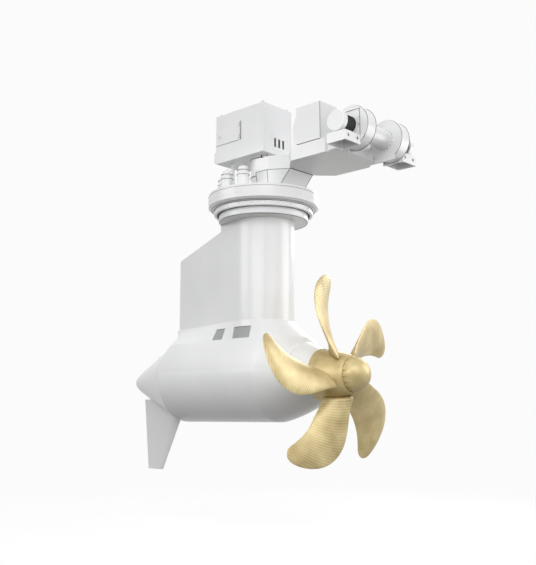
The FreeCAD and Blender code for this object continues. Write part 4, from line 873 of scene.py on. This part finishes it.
# Dark cables up the column: painted shade for the gaps between the column and the cabinet posts.
shade_cable_runs, shade_cable_circle = [], column_radius + shade_cable_gap
for degrees in shade_cable_angles:
    t = math.radians(degrees)
    x, y = shade_cable_circle * math.cos(t), shade_cable_circle * math.sin(t)
    shade_cable_runs.append(([(x, y, z) for z in (0.0, 0.4, 0.8, column_top)], False))
add_beads("column_joints", column_beads, column_bead, joint_and_shade_black, "ship_side")
add_beads("column_shade_cables", shade_cable_runs, shade_cable_radius, seal_and_shade_black, "ship_side")


# Steering drives: six geared electric motors on the deck; each turns one pinion in the ring.
# Cast housings in white paint, joined by flanges with a dark seal between them.
drive_radius, drive_angles = 1.330, (-76.0, -109.0, -142.0, 76.0, 109.0, 142.0)
gearbox_top, gearbox_rim, motor_top, motor_rim, cap_top = 0.410, 0.203, 0.586, 0.187, 0.682
foot_top, foot_rim, eye_radius, downward = 0.032, 0.221, 0.045, (0.0, 0.0, -1.0)
drive_bead, drive_bolt, drive_foot_bolt = 0.010, (0.013, 0.014, 0.018), (0.015, 0.018, 0.022)


def lifting_eye(x, y, z, radius):
    """The ring of a lifting eye, standing fore and aft."""
    return circle((x, y, z), radius, 16, level=False), True


dress(white_paint, "steering_gearboxes", "steering_motors")
dress(ground_steel, *["steering_pinion_" + str(number) for number in range(1, 7)])
drive_seals, drive_bolts, drive_foot_bolts, drive_eyes = [], [], [], []
for degrees in drive_angles:
    t = math.radians(degrees)
    x, y = drive_radius * math.cos(t), drive_radius * math.sin(t)
    drive_seals.append((circle((x, y, gearbox_top), gearbox_rim, 48), True))
    drive_seals.append((circle((x, y, motor_top - 0.028), motor_rim, 48), True))
    drive_bolts += bolt_circle((x, y, gearbox_top - 0.002), gearbox_rim + 0.002, 12, downward)
    drive_bolts += bolt_circle((x, y, motor_top), motor_rim - 0.015, 10, upward)
    drive_foot_bolts += bolt_circle((x, y, foot_top), foot_rim, 12, upward)
    drive_eyes.append(lifting_eye(x, y, cap_top + 0.03, eye_radius))
add_beads("drive_seals", drive_seals, drive_bead, joint_and_shade_black, "ship_side")
add_studs("drive_bolts", drive_bolts, drive_bolt, plain_steel, "ship_side")
add_studs("drive_foot_bolts", drive_foot_bolts, drive_foot_bolt, plain_steel, "ship_side")
add_beads("drive_lifting_eyes", drive_eyes, drive_bead, plain_steel, "ship_side")


# Cabinet: a welded sheet-metal house over the slip rings, with a hinged hatch on one side,
# a louvre in front and a small junction box behind. White paint, rounded edges.
cabinet_x, cabinet_y, cabinet_top = (-1.571, 0.637), (-0.701, 0.701), 2.974
hatch_x, hatch_z, hatch_rail_inset = (-1.482, -0.468), (1.925, 2.560), 0.085
rail_radius, gasket_radius = 0.009, 0.006
roof_eye_inset, roof_eye_radius, roof_eye_wire = 0.12, 0.05, 0.011
dress(white_paint, "cabinet", "cabinet_vent", "cabinet_hatch")
dress(plain_steel, "hatch_hinges")
wall_y = cabinet_y[0] - 0.002
rail_x, rail_y = hatch_x[1] + hatch_rail_inset, wall_y - 0.022
gasket_z = hatch_z[0] - 0.006
add_beads("hatch_rail", [([(rail_x, rail_y, hatch_z[0] - 0.02), (rail_x, rail_y, hatch_z[1])], False)],
          rail_radius, tower_grey, "ship_side")
gasket_runs = ((hatch_x[0] - 0.005, hatch_x[1] + 0.005), (cabinet_x[0], hatch_x[0]))
add_beads("hatch_gasket", [([(a, wall_y, gasket_z), (b, wall_y, gasket_z)], False) for a, b in gasket_runs],
          gasket_radius, joint_and_shade_black, "ship_side")
roof_eyes = [lifting_eye(x, y, cabinet_top + 0.035, roof_eye_radius)
             for x in (cabinet_x[0] + roof_eye_inset, cabinet_x[1] - roof_eye_inset)
             for y in (cabinet_y[0] + roof_eye_inset, cabinet_y[1] - roof_eye_inset)]
add_beads("roof_lifting_eyes", roof_eyes, roof_eye_wire, plain_steel, "ship_side")


# Air ducts: folded and welded steel sheet. The funnel rises from the deck and spreads into the
# trunk, and the flat plenum carries the coolers. The joints are sealed with dark beads.
dress(white_paint, "air_funnel", "air_plenum")
funnel_low = ((0.540, 0.830), (0.990, 0.830), (1.190, 0.570))
funnel_high = ((0.540, 0.930), (1.040, 0.930), (1.675, 0.550))
funnel_top_z, plenum_top_z, duct_bead = 0.528, 0.965, 0.008
duct_seams = []
for side in (1.0, -1.0):
    for (lx, ly), (hx, hy) in zip(funnel_low, funnel_high):
        duct_seams.append(([(lx, side * ly, 0.0), (hx, side * hy, funnel_top_z)], False))
    duct_seams.append(([(hx, side * hy, funnel_top_z) for hx, hy in funnel_high], False))
duct_seams.append(([(funnel_high[2][0], s * funnel_high[2][1], funnel_top_z) for s in (1.0, -1.0)], False))
trunk_x, trunk_y = 1.706, 0.556
duct_seams.append(([(trunk_x, -trunk_y, funnel_top_z), (trunk_x, trunk_y, funnel_top_z),
                    (trunk_x, trunk_y, plenum_top_z), (trunk_x, -trunk_y, plenum_top_z)], True))
add_beads("duct_seams", duct_seams, duct_bead, joint_and_shade_black, "ship_side")


# Coolers: two insulated boxes that cool the motor's air, each with a sloping hood. White sheet
# metal screwed on a frame, standing on the plenum with rubber-sealed feet.
cooler_x, cooler_y, cooler_foot_z, cooler_top_z = (2.402, 3.349), (0.253, 1.092), 0.982, 2.164
foot_inset, foot_bead, corner_bead = 0.035, 0.015, 0.007
cooler_screw, screw_inset, screw_rows = (0.012, 0.008, 0.015), 0.05, (1.08, 1.35, 1.62, 1.89, 2.09)
dress(white_paint, "cooler_boxes")
foot_seals, cooler_screws, corner_seams = [], [], []
for side in (1.0, -1.0):
    corner = (cooler_x[1] - 0.002, side * (cooler_y[1] - 0.002))
    corner_seams.append(([(*corner, cooler_foot_z + 0.03), (*corner, cooler_top_z - 0.03)], False))
    xs = (cooler_x[0] + foot_inset, cooler_x[1] - foot_inset)
    ys = (side * (cooler_y[0] + foot_inset), side * (cooler_y[1] - foot_inset))
    foot_seals.append(([(xs[0], ys[0], cooler_foot_z), (xs[1], ys[0], cooler_foot_z),
                        (xs[1], ys[1], cooler_foot_z), (xs[0], ys[1], cooler_foot_z)], True))
    for z in screw_rows:
        for x in (cooler_x[0] + screw_inset, cooler_x[1] - screw_inset):
            cooler_screws.append(((x, side * cooler_y[1], z), (0.0, side, 0.0)))
        for y in (cooler_y[0] + screw_inset, cooler_y[1] - screw_inset):
            cooler_screws.append(((cooler_x[1], side * y, z), (1.0, 0.0, 0.0)))
add_beads("cooler_foot_seals", foot_seals, foot_bead, joint_and_shade_black, "ship_side")
add_beads("cooler_corner_seams", corner_seams, corner_bead, joint_and_shade_black, "ship_side")
add_studs("cooler_screws", cooler_screws, cooler_screw, white_paint, "ship_side",
          round_heads=True)


# Fans: sheet-steel drums between square plates, joined by a round duct, each driven by a finned
# motor on a box bracket. The finned castings are dark, all else is white.
fan_x, fan_z, drum_radius, drum_y = 4.459, 1.092, 0.619, (0.637, 1.074)
plate_x, plate_z, plate_edge = (4.095, 4.816), (0.437, 1.556), 0.006
link_bolt_circle, motor_radius, motor_ends = 0.311, 0.262, (1.125, 1.592)
sheet_bead, motor_ring_wire = 0.008, 0.016
flange_bolt, plate_bolt = (0.014, 0.016, 0.018), (0.014, 0.012, 0.019)
plate_bolt_z = (plate_z[0] + 0.06, 0.72, fan_z, 1.30, plate_z[1] - 0.06)
fan_aluminium = grained("fan_aluminium", (0.60, 0.61, 0.62), (0.74, 0.75, 0.76),
                        metallic=1.0, gloss=0.38, grain=60.0, relief=0.06)
motor_black = grained("motor_black", (0.010, 0.010, 0.011), (0.025, 0.025, 0.027),
                      metallic=0.0, gloss=0.42, grain=90.0, relief=0.12)
dress(white_paint, "fan_casing_left", "fan_casing_right", "fan_link_duct", "fan_motor_cowls", "fan_beds")
dress(motor_black, "fan_motor_left", "fan_motor_right")
dress(fan_aluminium, "fan_wheel_left", "fan_wheel_right")
drum_lines, plate_lines, flange_bolts, plate_bolts, motor_rings = [], [], [], [], []


def fan_circle(radius, y, steps=72):
    return circle((fan_x, y, fan_z), radius, steps, level=False), True


for side in (1.0, -1.0):
    for rim_y in (drum_y[0] + 0.018, drum_y[1] - 0.018):
        drum_lines.append(fan_circle(drum_radius + 0.001, side * rim_y))
    outer = side * (drum_y[1] + 0.002)
    front, top = plate_x[1] - plate_edge, plate_z[1] - plate_edge
    plate_lines.append(([(front, outer, plate_z[0]), (front, outer, plate_z[1])], False))
    plate_lines.append(([(plate_x[0], outer, top), (plate_x[1], outer, top)], False))
    link_end = (fan_x, side * (drum_y[0] - 0.036), fan_z)
    flange_bolts += bolt_circle(link_end, link_bolt_circle, 16, (0.0, -side, 0.0), level=False)
    for z in plate_bolt_z:
        for x in (plate_x[0] + 0.05, plate_x[1] - 0.05):
            plate_bolts.append(((x, outer, z), (0.0, side, 0.0)))
    motor_rings.append(fan_circle(motor_radius + 0.012, side * motor_ends[0], 48))
    motor_rings.append(fan_circle(motor_radius + 0.030, side * motor_ends[1], 48))
add_beads("fan_drum_seams", drum_lines, sheet_bead, joint_and_shade_black, "ship_side")
add_beads("fan_plate_seams", plate_lines, sheet_bead, joint_and_shade_black, "ship_side")
add_beads("fan_motor_rings", motor_rings, motor_ring_wire, white_paint, "ship_side")
add_studs("link_flange_bolts", flange_bolts, flange_bolt, plain_steel, "ship_side")
add_studs("fan_plate_bolts", plate_bolts, plate_bolt, plain_steel, "ship_side")
